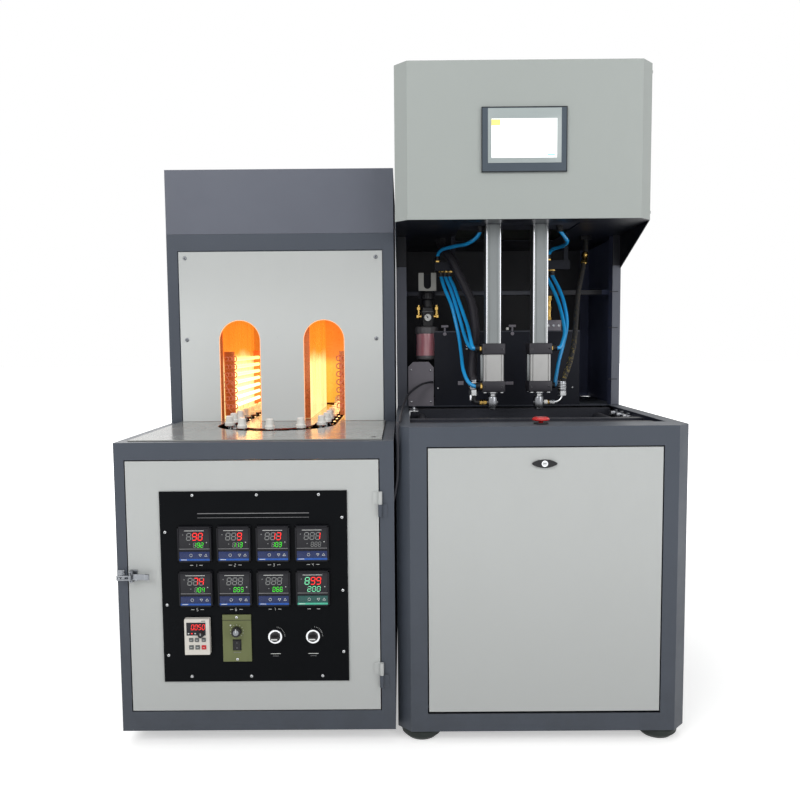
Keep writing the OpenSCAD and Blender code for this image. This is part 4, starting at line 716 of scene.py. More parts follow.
def held_cord(name, route, d, key, stands_for):
    kit = Kit(*ROUTES)
    points = smooth(route)
    kit.tube(points, d, key)
    path = [kit.place(p) for p in points]
    length = sum((b - a).length for a, b in zip(path, path[1:]))
    kit.done(name, "root", stands_for)
    tuple(path[0])
    [tuple(p) for p in path]


for number, route in enumerate(TUBES, 1):
    stands_for = ["air_tubes"] if number == 1 else []
    held_cord(f"blue_tube_{number}", route, 10, "blue", stands_for)
held_cord("feed_hose_left", HOSES[0], 24, "spiral", ["feed_hoses"])
held_cord("feed_hose_right", HOSES[1], 14, "braid", [])
held_cord("link_cable", LINK, 6, "hose", [])


# CAD nodes that keep their shape: material, radius of the rounded edges in millimetres, nodes

DRESSED = (
    ("slate", 0.9, "heater_cabinet oven_housing"),
    # oven cap in the lighter copy of the slate, painted light
    ("slate_cap_painted_light", 0.9, "oven_cap"),
    ("slate_blower", 1.2, "blower_cabinet"),
    ("slate_column", 0.8, "column_frame"),
    ("head", 1.2, "head_housing"),
    ("pale", 0.8, "control_door service_door"),
    ("oven_panel", 0.6, "oven_front_panel"),
    ("table", 0.8, "heater_table track_island"),
    ("foot", 0, "machine_feet"),
    ("steel", 0.8, "drive_frame"),
    ("steel", 0.5, "front_sprocket rear_sprocket"),
    ("steel", 0, "oven_fan_impeller lock_cam"),
    ("chain", 0, "track_chain"),
    ("drive", 1.5, "gear_motor"),
    ("device", 0.8, "electrical_plate"),
    # Oven reflectors and lamp holders glow with painted lamp light
    ("reflector", 0, "oven_reflectors"),
    ("oven_wall", 1, "lamp_holders"),
    ("lamp", 0, "heat_lamps"),
    ("black", 0, "oven_fan_frame"),
    ("black", 0.3, "rocker_switch"),
    ("black", 0.4, "stop_base"),
    ("black_panel", 0.5, "control_panel"),
    ("case", 0.8, "temperature_controllers"),
    ("keypad", 1, "keypad"),
    ("olive", 0.6, "speed_controller"),
    ("chrome", 0.5, "selector_bases"),
    ("chrome", 0, "stretch_rod_left stretch_rod_right mandrel_bases"),
    ("tip", 0, "mandrel_tips"),
    ("latch", 0.4, "door_latch_base latch_lever"),
    ("latch", 0.3, "latch_keeper"),
    ("latch", 0, "latch_bail"),
    ("red", 0.6, "stop_button"),
    ("cast", 1.2, "clamp_bed front_platen rear_platen"),
    ("aluminium", 1.2, "clamp_cylinders"),
    ("mould", 0.8, "front_mould rear_mould"),
    ("guard", 0.8, "column_fittings"),
    ("bezel", 1.2, "touch_panel"),
)


def dress(piece, key, soft):
    """Gives a CAD node its material and, where soft is given, rounded edges."""
    piece.data.materials.clear()
    piece.data.materials.append(M[key])
    if soft:
        weld = piece.modifiers.new("weld", "WELD")
        weld.merge_threshold = 0.00002
        bevel = piece.modifiers.new("bevel", "BEVEL")
        bevel.width = soft / 1000
        bevel.segments = 2
        bevel.limit_method = "ANGLE"
        bevel.angle_limit = radians(50)
        bevel.use_clamp_overlap = True
        bevel.harden_normals = True


for key, soft, names in DRESSED:
    for name in names.split():
        dress(nodes[name], key, soft)

# Numbers made of seven bars, as on a display

SEGMENTS = {"0": "abcdef", "1": "bc", "2": "abged", "3": "abgcd", "4": "fgbc", "5": "afgcd", "6": "afgedc",
            "7": "abc", "8": "abcdefg", "9": "abcdfg", " ": ""}


def digit(kit, text, x, z, w, h, y, key, off=None, slant=0.12, weight=0.18):
    """One digit with its lower left corner at (x, z), facing the front."""
    t = w * weight
    mid, top, right = z + h / 2, z + h, x + w
    bars = {"a": (x, top, right, top), "g": (x, mid, right, mid), "d": (x, z, right, z),
            "f": (x, mid, x, top), "b": (right, mid, right, top),
            "e": (x, z, x, mid), "c": (right, z, right, mid)}
    for name, (x0, z0, x1, z1) in bars.items():
        on = name in SEGMENTS[text]
        if not on and (not off or off == "mint_digit" and text != " "):
            continue
        a, b = Vector((x0, z0)), Vector((x1, z1))
        along = (b - a).normalized() * t
        a, b = a + along * 0.35, b - along * 0.35
        side = Vector((-along.y, along.x)) / 2
        tip = along / 2
        outline = [a, a + tip + side, b - tip + side, b, b - tip - side, a + tip - side]
        kit.prism([(p.x + (p.y - z) * slant, p.y) for p in outline], y, y + (0.6 if on else 0.4),
                  key if on else off)


def digits(kit, text, x, z, w, h, gap, y, key, off=None, **more):
    for i, c in enumerate(text):
        digit(kit, c, x + i * (w + gap), z, w, h, y, key, off, **more)


# Control panel

# Places on the panel, in millimetres from its lower middle
ZONE_PITCH_X, ZONE_PITCH_Z, ZONE_TOP = 84, 98, 306.5
SELECTORS = {"left": 42.5, "right": 124.5}
SELECTOR_Z = 101
# Numbers on the eight controllers
UPPER = [" 90", "  9", " 13", "  1", " 74", "   ", "   ", " 99"]
LOWER = ["192", "113", "103", "020", "104", "055", "066", "200"]


def on_panel(x, y, z):
    """Point in metres from millimetres on the panel; y is towards the inside."""
    return tuple(a + b / 1000 for a, b in zip(PANEL, (x, y, z)))


KEYPAD = on_panel(-124.8, -12, 104.5)
SPEED = on_panel(-40.3, -4, 98)


def controller_face(kit, zone):
    """Face of one temperature controller; the last one is teal."""
    row, column = divmod(zone, 4)
    kit.move(*on_panel((column - 1.5) * ZONE_PITCH_X, -8, ZONE_TOP - row * ZONE_PITCH_Z))
    last = zone == 7
    colour, blank = ("teal", "mint_digit") if last else ("blue", "ghost")
    # Raised rim of the case round a sunk face
    kit.frame(0, 69, 74, 2.6, -1.6, 0.8, "case")
    kit.box((-32.5, -0.8, -12), (32.5, 0.5, 34.5), "window", 0.4)
    kit.box((-32.5, -1.2, -10), (32.5, -0.2, -8.8), "line_grey")
    kit.box((-32.5, -1.2, -34.5), (32.5, -0.2, -15.5), "strip_" + colour, 0.4)
    kit.box((-32.5, -1.4, -35), (32.5, -0.3, -30.8), "bar_" + colour)
    kit.box((-29, -1.6, -33.5), (-16.5, -0.4, -32.2), "print")
    # Soft keys: an outlined hexagon and two arrow heads
    keys_z = -23.2
    kit.loop(circle(-7.5, keys_z, 3.2, range(0, 360, 60)), 0.7, -1.7, -0.8, "print")
    for x, up in ((12.5, -1), (24.5, 1)):
        base = keys_z - up * 2.2
        kit.loop([(x - 3, base), (x + 3, base), (x, keys_z + up * 3)], 0.7, -1.7, -0.8, "print")
    face = -1.4
    digits(kit, UPPER[zone], -16.5, 9.8, 8.5, 15, 3.8, face, "red_digit", blank)
    if last:
        digits(kit, LOWER[zone], -11, -5.8, 6.8, 10.8, 3.2, face, "mint_digit", "ghost")
    else:
        low = "ghost" if zone == 3 else "green_digit"
        digits(kit, LOWER[zone], -2, -5.8, 5, 9.8, 2.7, face, low, "ghost")
    # Small lamps beside the rows, and a rule above them
    for x, z, key in ((-24, 21.5, "ghost"), (-10, 1, "ghost"), (26.2, 4.5, "print")):
        kit.box((x - 1.1, face, z - 0.9), (x + 1.1, face + 0.6, z + 0.9), key, 0.3)
    kit.box((-21, face + 0.2, 29.6), (21, face + 0.8, 30.6), "print")
    # Zone number under the case, between two short rules
    if not last:
        digit(kit, str(zone + 1), -1.6, -50.5, 3.2, 5.8, 7.6, "print", slant=0.05, weight=0.24)
    for x in (-13, 7.5):
        kit.box((x, 7.6, -48.1), (x + 7, 8.2, -47.1), "print")


def controller_faces():
    kit = Kit()
    for zone in range(8):
        controller_face(kit, zone)
    kit.done("controller_faces", "control_door")


def panel_print():
    """Printed rules where the panel carries its heading, scale arcs round the switches."""
    kit = Kit(*PANEL)
    kit.box((-120, -0.4, 371), (120, 0.3, 372.6), "line_grey", 0.2)
    kit.box((-120, -0.4, 362.2), (120, 0.3, 363), "line_grey")
    for x in SELECTORS.values():
        kit.ticks(x, SELECTOR_Z, range(80, -1, -10), 19.2, 21.2, 0.012, -0.4, 0.3, "print")
        kit.box((x - 11, -0.4, 61), (x + 11, 0.3, 62), "print")
        kit.box((x - 6.5, -0.4, 56), (x + 6.5, 0.3, 56.8), "line_grey")
    kit.done("panel_print", "control_door")


def panel_screw_heads():
    kit = Kit(*PANEL)
    spots = [(x, 12) for x in (-141, -11, 144)] + [(x, 412) for x in (-130, 8, 141)]
    spots += [(-190.5, z) for z in (60, 172, 332)] + [(190.5, z) for z in (66, 202, 362)]
    for x, z in spots:
        kit.screw(x, 0, z, 7.6, 2.7)
    kit.done("panel_screw_heads", "control_door")


def keypad_face():
    kit = Kit(*KEYPAD)
    kit.box((-22.5, -0.6, 3.5), (19, 0.5, 32), "window", 0.6)
    digits(kit, "0050", -12, 16.5, 5, 11, 2.8, -1.2, "red_digit")
    for x, key in ((-19.5, "print"), (-12.3, "red_digit"), (-5.1, "print")):
        kit.box((x, -1.1, 6.8), (x + 3, -0.2, 9.2), key, 0.3)
    kit.box((10, -0.5, 34.5), (19, 0.4, 35.8), "key_grey")
    for x, z, size, colour in ((-12.5, -6, 4.6, "grey"), (-0.2, -6, 4.6, "grey"), (14.5, -6, 4.6, "grey"),
                               (-12.5, -22.5, 5, "grey"), (1, -22.5, 5, "grey"), (14.5, -22.5, 5, "red")):
        kit.box((x - size, -1.8, z - size * 0.95), (x + size, 0.5, z + size * 0.95), "key_" + colour, 1)
        kit.box((x - 2.2, -2.1, z - 0.4), (x + 2.2, -1.5, z + 0.4), "print")
    kit.done("keypad_face", "control_door")


def knob_grip(name, body, at, d, h, cap):
    """Fluted knob with a pointer line and its spindle."""
    kit = Kit(*at)
    r = d / 2
    steps = ((0.3, 1.0), (h * 0.25, 1.0), (h * 0.85, 0.93), (h - 0.4, 0.90), (h, 0.84))
    kit.lathe(ORIGIN, FORWARD, [(r * k, height, r * k * 0.07) for height, k in steps], "black", 48,
              (-1, 0, 0, 0), (0, -1))
    kit.rod((0, -h - 0.4, 0), (0, 2 - h, 0), d * 0.55, cap, 0.4, 32)
    kit.box((-0.6, -h - 0.8, 0), (0.6, 1 - h, r * 0.8), "print", 0.2)
    kit.rod((0, -1, 0), (0, 16, 0), 6, "steel", 0.4, 20)
    kit.done(name, body, [body], 30)


def speed_plate():
    kit = Kit(*SPEED)
    kit.box((-30.6, -0.5, 39.8), (30.6, 0.4, 40.6), "seal_black")
    for z in (46.5, -46.5):
        kit.screw(0, 0, z, 6.2, 1.8)
    kit.ticks(0, 16, range(225, -46, -27), 13, 15, 0.025, -0.3, 0.3, "print")
    # Small lamp and a frame round the rocker
    kit.lathe((-13.5, 0, 29), FORWARD, [(0, 0), (1.8, 0), (1.6, 0.8), (0, 1.2)], "print", 16)
    kit.frame(-14.5, 16.4, 22.4, 1.8, -1.2, 0.3, "black")
    kit.box((-8, -0.3, -31.8), (8, 0.3, -31.1), "line_grey")
    kit.done("speed_plate_marks", "control_door")


def rocker_mark():
    kit = Kit(*SPEED)
    kit.box((-0.5, -3.6, -10), (0.5, -2.4, -7.6), "line_grey", 0.2)
    kit.ring(0, -20.2, -3.6, -2.4, 1.5, 1.0, "line_grey", 20, 0.1)
    kit.done("rocker_marks", "rocker_switch")


def selector(side):
    """Switch knob with a finger bar and a white line, inside its chrome ring."""
    kit = Kit(*on_panel(SELECTORS[side], 0, SELECTOR_Z))
    kit.lathe((0, 24, 0), FORWARD, [(0, 0), (7.4, 0), (7.4, 26.2), (10.4, 27.2), (13.5, 27.4), (13.5, 28.6),
                                    (10.4, 29.2), (10.2, 33), (9.4, 35), (0, 35)], "black", 40)
    kit.box((-8.6, -19, -3), (8.6, -9, 3), "black", 1.2, 3)
    kit.box((-6.8, -19.4, -2.2), (6.8, -18.6, 0.6), "print", 0.3)
    kit.done("selector_grip_" + side, "selector_knob_" + side, ["selector_knob_" + side])


controller_faces()
panel_print()
panel_screw_heads()
keypad_face()
knob_grip("keypad_dial", "keypad_knob", on_panel(-115.3, -12, 111), 13, 9, "black")
knob_grip("speed_dial", "speed_knob", on_panel(-40.3, -4, 114), 22, 12, "latch")
speed_plate()
rocker_mark()
selector("left")
selector("right")


def touch_face():
    """Screen of the head's touch panel with plain blocks of colour and a number."""
    kit = Kit(BX - 0.002, HEAD - 0.006, HEAD_Z + 0.190)
    kit.frame(0, 206, 153, 2, -0.2, 1.2, "bezel_dark")
    kit.box((-88.5, -0.8, -56), (90, 0.6, 74), "screen_frame", 0.4)
    kit.box((-80, -1.2, -44), (79, -0.2, 49), "screen", 0.3)
    kit.box((-80, -1.4, 33), (-58.5, -0.6, 47), "screen_yellow")
    kit.box((-56, -1.4, 34.5), (-55, -0.6, 42), "line_grey")
    digits(kit, "0000", 48, 38, 4.5, 7, 2.8, -1.5, "screen_pink", weight=0.3)
    kit.box((-48, -1.3, 34), (-26, -0.6, 34.7), "screen_grey")
    kit.box((-10, -1.3, -37.5), (43, -0.6, -36.8), "screen_grey")
    kit.box((56, -1.4, -38.5), (74, -0.6, -35), "screen_cyan")
    kit.done("touch_screen", "root")


# Oven and table

def oven_screws():
    """Screws of the oven panel, the seam of the table's side flange and a small plug beside it."""
    kit = Kit(HX, OVEN, TABLE)
    for x in (-252, 252):
        for z in (434, 219):
            kit.screw(x, 0, z, 10.5, 3, "latch")
    kit.box((274.2, -385, -0.2), (275.6, -6, 0.3), "seal_black")
    kit.lathe((257, -359, 0), UP, [(0, 0), (3.4, 0), (3, 0.8), (0, 0.8)], "seal_black", 20)
    kit.box((250, -362, -0.2), (254, -356, 0.3), "seal_black")
    kit.done("oven_panel_screws", "root")


LAMP_ROWS = range(34, 167, 22)
OVEN_HALF, OVEN_HEIGHT = 262, 329


def lamp_hooks():
    """Bent wire ends of the lamps, three to a row, and the wires that run up from them, with a painted glow
    of the lamps' light.
    """
    kit = Kit(HX, OVEN + 0.074, TABLE)
    for side in (-1, 1):
        for z in LAMP_ROWS:
            for x, w, h in ((144, 6, 7), (156, 4.2, 5.5), (165, 4, 5.5)):
                angles = [radians(a) for a in range(-60, 121, 15)]
                arc = [(side * (x - w * cos(a)), 0, z + h * sin(a)) for a in angles]
                # Half a micron off the diagonal, so that rounding can't turn the wire's eight sides
                start, end = (side * (x + 4) + 0.0005, 6, z - h), (side * (x + 5.5), 2, z + h * 0.7)
                kit.tube([start] + arc + [end], 3.4, "wire_painted_glow", 8)
            kit.rod((side * 150, 4, z), (side * 150, 12, z), 11, "wire_painted_glow", 1, 16)
        for i, (low, high) in enumerate(((90, 128), (60, 104), (20, 50), (100, 86))):
            kit.tube([(side * (146 + 4 * i), -3, low), (side * (156 + 3 * i), -6, low + (high - low) * 0.3),
                      (side * 172, -4, high)], 3, "wire_painted_glow", 8)
    kit.done("lamp_hooks", "root")


def oven_linings():
    """Sheets that close the oven behind the lamps, bright with painted lamp light, and the rims of the
    arches, pale orange with a painted glow.
    """
    kit = Kit(HX, OVEN, TABLE)
    for x0, x1 in ((-OVEN_HALF, -174.5), (174.5, OVEN_HALF)):
        kit.box((x0, 70, 0.5), (x1, 71.5, OVEN_HEIGHT), "oven_wall", 0.3)
    kit.box((-OVEN_HALF, 641, 0.5), (OVEN_HALF, 642.5, OVEN_HEIGHT), "oven_back", 0.3)
    kit.box((-65, 72, 0.5), (65, 73.5, OVEN_HEIGHT), "oven_wall", 0.3)
    outer, inner, arch_z = 54.5, 53.3, 215.5
    for x in (-112, 112):
        # Rims of the arches, with a painted glow of the lamps' light
        kit.prism([(x + outer, 0.8)] + circle(x, arch_z, outer, range(0, 181, 6))
                  + [(x - outer, 0.8), (x - inner, 0.8)] + circle(x, arch_z, inner, range(180, -1, -6))
                  + [(x + inner, 0.8)], 0.2, 3.2, "arch_rim_painted_glow")
    kit.done("oven_linings", "root")


touch_face()
oven_screws()
lamp_hooks()
oven_linings()

# Working bay

# Heights of the seal cylinders' caps and barrels, and of the head's floor above them, in millimetres
CAP, BARREL = 29, 69
SEAL_TOP = 2 * CAP + BARREL
HEAD_FLOOR = 433
# Height of the blow lines into the nozzles
BLOW_Z = -28.5


def grooved(w, corner, grooves, width, depth):
    """Section of a square extrusion with rounded corners and grooves along every side."""
    side = circle(-w / 2 + corner, -w / 2 + corner, corner, range(180, 271, 18))
    for g in grooves:
        side += [(g - width / 2, -w / 2), (g - width / 2, -w / 2 + depth), (g + width / 2, -w / 2 + depth),
                 (g + width / 2, -w / 2)]
    out = []
    for c, s in ((1, 0), (0, 1), (-1, 0), (0, -1)):
        out += [(u * c - v * s, u * s + v * c) for u, v in side]
    return out


def collar(kit, at, way, nut="brass"):
    """Push-in fitting round the end of an air tube, pointing along the tube."""
    a, way = Vector(at), Vector(way).normalized()
    kit.hexagon(a, a + way * 5, 15, nut)
    kit.lathe(a + way * 5, way, [(8, 0), (8, 6), (6.8, 7.2), (6.8, 9), (8.4, 9.4), (8.4, 11.2), (5, 11.8)],
              "black", 24)


def station(kit):
    """Stretch cylinder above and seal cylinder below."""
    kit.column(grooved(41, 8, (-11, 11), 1.6, 1.4), SEAL_TOP, HEAD_FLOOR, "aluminium")
    for x in (-17.5, 17.5):
        kit.rod((x, -20, SEAL_TOP), (x, -20, HEAD_FLOOR), 4, "chrome", n=16)
    kit.column(grooved(54, 5, (-20.5, 20.5), 3.2, 3), CAP, CAP + BARREL, "aluminium_light")
    for z in (0, CAP + BARREL):
        kit.box((-30, -30, z), (30, 30, z + CAP), "cap_black", 2.5, 3)
        for x in (-22, 22):
            kit.lathe((x, -30, z + CAP / 2), FORWARD,
                      [(0, 0), (3, 0), (3, 0.6), (1.6, 0.6), (1.6, -1), (0, -1)], "cap_black", 20)
    for x in (-22, 22):
        for y in (-22, 22):
            kit.rod((x, y, -2.5), (x, y, 1), 9, "zinc")
    kit.box((-33.5, -20, CAP), (-24.8, -6, CAP + BARREL), "aluminium", 0.6)
    kit.hexagon((0, 0, -4), (0, 0, 2), 26, "zinc")
    kit.rod((0, 0, SEAL_TOP - 1), (0, 0, SEAL_TOP + 10), 38, "cap_black")


def left_blow_line(kit):
    """Silver sleeve under the hose, black elbow, two brass rings."""
    kit.hexagon((-50, 0, -10), (-50, 0, 6), 22, "zinc")
    kit.lathe((-50, 0, 6), UP, [(10.8, 0), (12.8, 1), (13.2, 24), (13, 26), (11.8, 27)], "dull_chrome")
    for z in (12, 18, 24):
        kit.lathe((-50, 0, z), UP, [(13.2, -1.2), (13.8, 0), (13.2, 1.2)], "zinc")
    kit.tube([(-50, 0, -9), (-50, 0, -20), (-48.5, 0, -25.5), (-44.5, 0, BLOW_Z), (-34, 0, BLOW_Z)], 13,
             "black", 20)
    for x in (-34.5, -24.5):
        kit.lathe((x, 0, BLOW_Z), RIGHT,
                  [(0, 0), (7.2, 0), (8, 1), (8, 6.8), (7.2, 7.8), (0, 7.8)], "brass", 6)
    kit.rod((-36, 0, BLOW_Z), (-14.5, 0, BLOW_Z), 10, "brass")
    kit.rod((-58, -6, -22), (-58, -6, -8), 6, "chrome")


def right_blow_line(kit):
    """White nut, hexagon and a bent silver pipe up to the braided hose."""
    kit.rod((14.2, 0, BLOW_Z), (23.5, 0, BLOW_Z), 12, "tip", 1)
    kit.hexagon((23.5, 0, BLOW_Z), (28.5, 0, BLOW_Z), 10, "brass")
    kit.hexagon((30, 0, BLOW_Z), (42, 0, BLOW_Z), 12, "zinc")
    bend = [(x, 0, z) for x, z in circle(44, BLOW_Z + 18, 18, range(-90, 1, 15))]
    kit.tube([(28, 0, BLOW_Z)] + bend, 7.5, "chrome", 20)
    kit.hexagon((62, 0, -12), (62, 0, 1), 19, "zinc")
    kit.lathe((62, 0, 1), UP, [(8.5, 0), (10.4, 1), (10.8, 22), (10, 25), (6.9, 26)], "dull_chrome")
    for z in (7, 13, 19):
        kit.lathe((62, 0, z), UP, [(10.7, -1.4), (11.4, 0), (10.7, 1.4)], "zinc")


def stations():
    kit = Kit(BX, STATION_Y, HEAD_Z)
    kit.box((-173, -75, 3), (167, 75, 23), "cast", 1)
    for x in STATIONS:
        kit.move(x, STATION_Y, SEAL_Z)
        station(kit)
    kit.move(STATIONS[0], STATION_Y, SEAL_Z)
    left_blow_line(kit)
    kit.move(STATIONS[1], STATION_Y, SEAL_Z)
    right_blow_line(kit)
    # Push-in fittings where the tubes end on the caps, and where they leave the head
    kit.move(*ROUTES)
    for route in TUBES[1:4] + TUBES[5:7]:
        collar(kit, route[-1], Vector(route[-2]) - Vector(route[-1]))
    for x, y, z in (TUBES[0][0], TUBES[4][0]):
        collar(kit, (x, y, z + 0.6), DOWN, "black")
    kit.done("stations", "root", ["station_cylinders"])


def nozzle(side, x):
    """Chrome tee body with its nut and the stem that runs up into the cylinder."""
    kit = Kit(x, STATION_Y, RIM + 0.002)
    kit.lathe(ORIGIN, UP, [(5.2, 0), (8.5, 0), (10.5, 2), (10.5, 5), (12.8, 6), (13, 8), (13, 32),
                           (12.2, 34.5), (7, 35), (7, 132), (5.2, 132), (5.2, 0)], "dull_chrome", 40)
    kit.hexagon((0, 0, 35.5), (0, 0, 42.5), 17, "zinc")
    kit.rod((-14, 0, 19.5), (-10, 0, 19.5), 12, "dull_chrome")
    kit.rod((10, 0, 19.5), (14, 0, 19.5), 12, "dull_chrome")
    kit.lathe((0, 0, 110), UP, [(7, 0), (24, 0), (24.7, 1), (24.7, 14), (24, 15), (7, 15)], "black", 40)
    kit.done("nozzle_body_" + side, "nozzle_" + side, ["nozzle_" + side])


def filter_bowl(kit):
    kit.lathe(ORIGIN, UP, [(0, 0), (6, 0), (7, 1), (7, 8), (10, 9.5)], "black")
    kit.lathe(ORIGIN, UP, [(9, 9.5), (24.5, 10), (29, 13), (30.2, 18), (30.2, 22.5), (29.2, 23.5)],
              "bowl_cap", 48)
    kit.lathe(ORIGIN, UP, [(29.2, 20), (29.8, 23.5), (29.2, 60), (29.6, 87.5), (29, 89.5)], "bowl", 48)
    kit.lathe(ORIGIN, UP, [(30, 86), (31.8, 86.5, 0.6), (32.6, 101, 0.6), (31.8, 103.5), (29, 106),
                           (21.5, 106.5)], "bowl_cap", 60, caps=(-1,))


def filter_gauge(kit):
    """Gauge with its scale and needle."""
    z, face = 26, -28.6
    kit.rod((0, -24, z), (0, -29, z), 11, "brass")
    kit.lathe((0, face, z), FORWARD, [(0, 0), (11.2, 0), (11.8, 0.8), (11.8, 6.6), (10.8, 7.4), (10, 6.6)],
              "black", 40)
    kit.lathe((0, face, z), FORWARD, [(0, 6.2), (10.2, 6.2), (10.2, 5)], "gauge_face", 40)
    kit.ticks(0, z, [225 - i * 33.75 for i in range(9)], 7.8, 9.4, 0.04, -35, -34.7, "black")
    kit.prism([(-1.6, z - 1.4), (1.6, z + 1), (-4.8, z + 6.2)], -35.4, -35, "seal_black")
    kit.rod((0, -34.8, z), (0, -35.6, z), 3, "seal_black")


def filter_unit():
    """Regulator body with brass elbows, a gauge, and its tinted bowl."""
    x, y, z = FILTER
    kit = Kit(x - 0.0035, y, z - 0.106)
    filter_bowl(kit)
    kit.move(*FILTER)
    kit.box((-15.5, -25, 0), (15.5, 25, 56), "black", 3, 3)
    kit.box((-17.5, -22, 12), (17.5, 22, 46), "black", 1.5)
    kit.box((-15.8, -25.6, 42.8), (15.8, -24, 44), "line_grey")
    kit.lathe((0, 0, 56), UP, [(0, -2), (16.5, -2), (17.2, 0), (17.2, 18), (15, 22.5), (0, 22.5)],
              "black", 40)
    filter_gauge(kit)
    # Brass elbows with hexagon nuts
    for side in (-1, 1):
        turn, rise = side * 24.5, side * 26
        kit.rod((side * 15, -4, 30), (turn, -4, 30), 13, "brass")
        kit.tube([(side * 20.5, -4, 30), (turn, -4, 32), (rise, -4, 38), (rise, -4, 62)], 11, "brass", 20)
        kit.hexagon((rise, -4, 48), (rise, -4, 57), 14, "brass")
        kit.lathe((turn, -4, 30), (side, 0, 0), [(6.5, 0), (7.5, 1), (7.5, 7), (0, 8)], "brass", 6)
        kit.rod((rise, -4, 61), (rise, -4, 66.5), 8, "black")
    kit.done("filter_unit", "root", ["filter_regulator", "filter_bowl"])


def regulator_grip():
    """Ribbed adjusting knob."""
    kit = Kit(*FILTER)
    kit.lathe(ORIGIN, UP, [(16.5, 79.6), (17.6, 80, 0.5), (17.6, 96, 0.5), (16, 98.5)], "black", 72,
              caps=(0, -1))
    kit.rod((0, 0, 97.5), (0, 0, 99), 20, "case")
    kit.done("regulator_grip", "regulator_knob", ["regulator_knob"])


def guard_fittings(kit):
    """Rail face above the guard plate, its wing screws, screws and small plates."""
    kit.box((-284, 69.5, 319), (100, 71.8, 331), "grey_dark", 0.5)
    for x in (-180, 13):
        kit.rod((x, 2, 211), (x, 2, 226), 5, "grey_plate")
        kit.rod((x - 10, 2, 226.5), (x + 10, 2, 226.5), 7.8, "grey_plate")
        kit.rod((x, -1, 205), (x, 1, 205), 10, "grey_plate")
    kit.box((-5, -2.2, 215), (2, 3, 222.5), "tip", 0.6)
    kit.box((-4, -2.6, 216.5), (1, -2, 219.5), "print", 0.2)
    for x, z in ((-117.2, 162.1), (-103, 165), (-117.2, 170), (95, 165), (95, 50), (-200, 50), (185, 50),
                 (185, 190)):
        kit.screw(x, 0, z, 5.2, 1.8)
    for x0, x1, z1 in ((-143, -127, 70), (-8, 16, 68), (138, 154, 69)):
        kit.box((x0, -1.2, 59), (x1, 0.5, z1), "grey_plate", 0.5)
    kit.box((-210, -0.4, 209.6), (205, 4.5, 213.2), "grey_dark", 0.5)


def valve_block(kit):
    kit.box((-22.3, -0.3, -0.1), (22.3, 44.3, 30.3), "grey_plate", 1)
    for x in (-15, 0, 15):
        kit.rod((x, -1.8, 15), (x, 0.5, 15), 7.5, "zinc")
    kit.rod((-8, 26, 30), (-8, 26, 88.5), 12.6, "brass")
    for z, h, w in ((30.5, 10, 17), (62, 8, 16), (87.5, 13, 19)):
        kit.hexagon((-8, 26, z), (-8, 26, z + h), w, "brass")


def tube_fittings(kit):
    """Push-in fittings on the bulkhead bars, the braided hose's ferrule, nuts under the head."""
    for route in TUBES:
        for x, y, z in (route[0], route[-1]):
            if 380 < z < 412:
                top = z > 400
                collar(kit, (x, y, 408 if top else 384), UP if top else DOWN)
    points = smooth(HOSES[1])
    at = min(range(len(points)), key=lambda i: abs(points[i].z - 412))
    way = (points[at + 1] - points[at - 1]).normalized()
    kit.lathe(points[at] - way * 17, way, [(6.8, 0), (8.8, 1), (9.4, 8), (8.2, 10), (8.2, 22), (9.4, 24),
                                           (9.4, 32), (6.8, 34)], "brass")
    for x, y, z in (HOSES[0][0], HOSES[1][0]):
        kit.hexagon((x, y, z + 0.5), (x, y, z - 12), 30, "black")


def pit_fittings(kit):
    """Slide rail and stops at the right wall, clear of the platens' travel, a small stop at the left."""
    kit.box((274.5, -225, -20), (285.5, -95, -10), "steel", 0.8)
    kit.rod((268.5, -222, -16), (268.5, -98, -16), 7, "latch")
    for y in (-214, -160, -106):
        kit.box((263.5, y - 9, -21), (275.5, y + 9, -8.8), "steel", 0.8)
        kit.hexagon((279.5, y, -10.2), (279.5, y, -5), 9, "latch")
    kit.box((-285.5, -180, -30), (-282.5, -95, 2), "zinc", 0.6)
    kit.box((-285.5, -180, -1), (-261.5, -95, 2), "zinc", 0.6)
    for y in (-165, -110):
        kit.hexagon((-271.5, y, 1.8), (-271.5, y, 7), 10, "chrome")


def bay_details():
    """Plates, screws and fittings round the bay."""
    # Front of the filter bracket, with the notch for the bonnet
    kit = Kit(FILTER[0], FILTER[1], RIM)
    kit.prism([(-25.5, 330), (25.5, 330), (25.5, 381.5), (10.5, 381.5)]
              + circle(0, 346, 10.5, range(360, 179, -20)) + [(-10.5, 381.5), (-25.5, 381.5)],
              -12.5, -10, "bracket_grey")
    kit.move(BX, COLUMN + 0.008, RIM)
    guard_fittings(kit)
    # Slate plate with cut corners, on the column
    kit.move(BX - 0.247, COLUMN + 0.003, RIM)
    kit.prism([(-38.3, 0.3), (34.3, 0.3), (34.3, 110.1), (20.2, 126.3), (-24.2, 126.3), (-38.3, 112.1)],
              -0.6, 3.1, "grey_plate")
    for x, z in ((-30, 104), (26, 102), (-30, 12), (26, 12)):
        kit.screw(x, -0.6, z, 6, 1.8)
    kit.move(BX + 0.130, COLUMN + 0.008, RIM + 0.212)
    valve_block(kit)
    kit.move(*ROUTES)
    tube_fittings(kit)
    # Seams across the right post
    kit.move(BX, COLUMN, 0)
    for z in (1021, 919.7, 773.3):
        kit.box((286.8, -0.4, z - 1), (310.5, 0.4, z + 1), "seal_black")
    kit.move(BX, 0, RIM)
    pit_fittings(kit)
    kit.done("bay_details", "root")


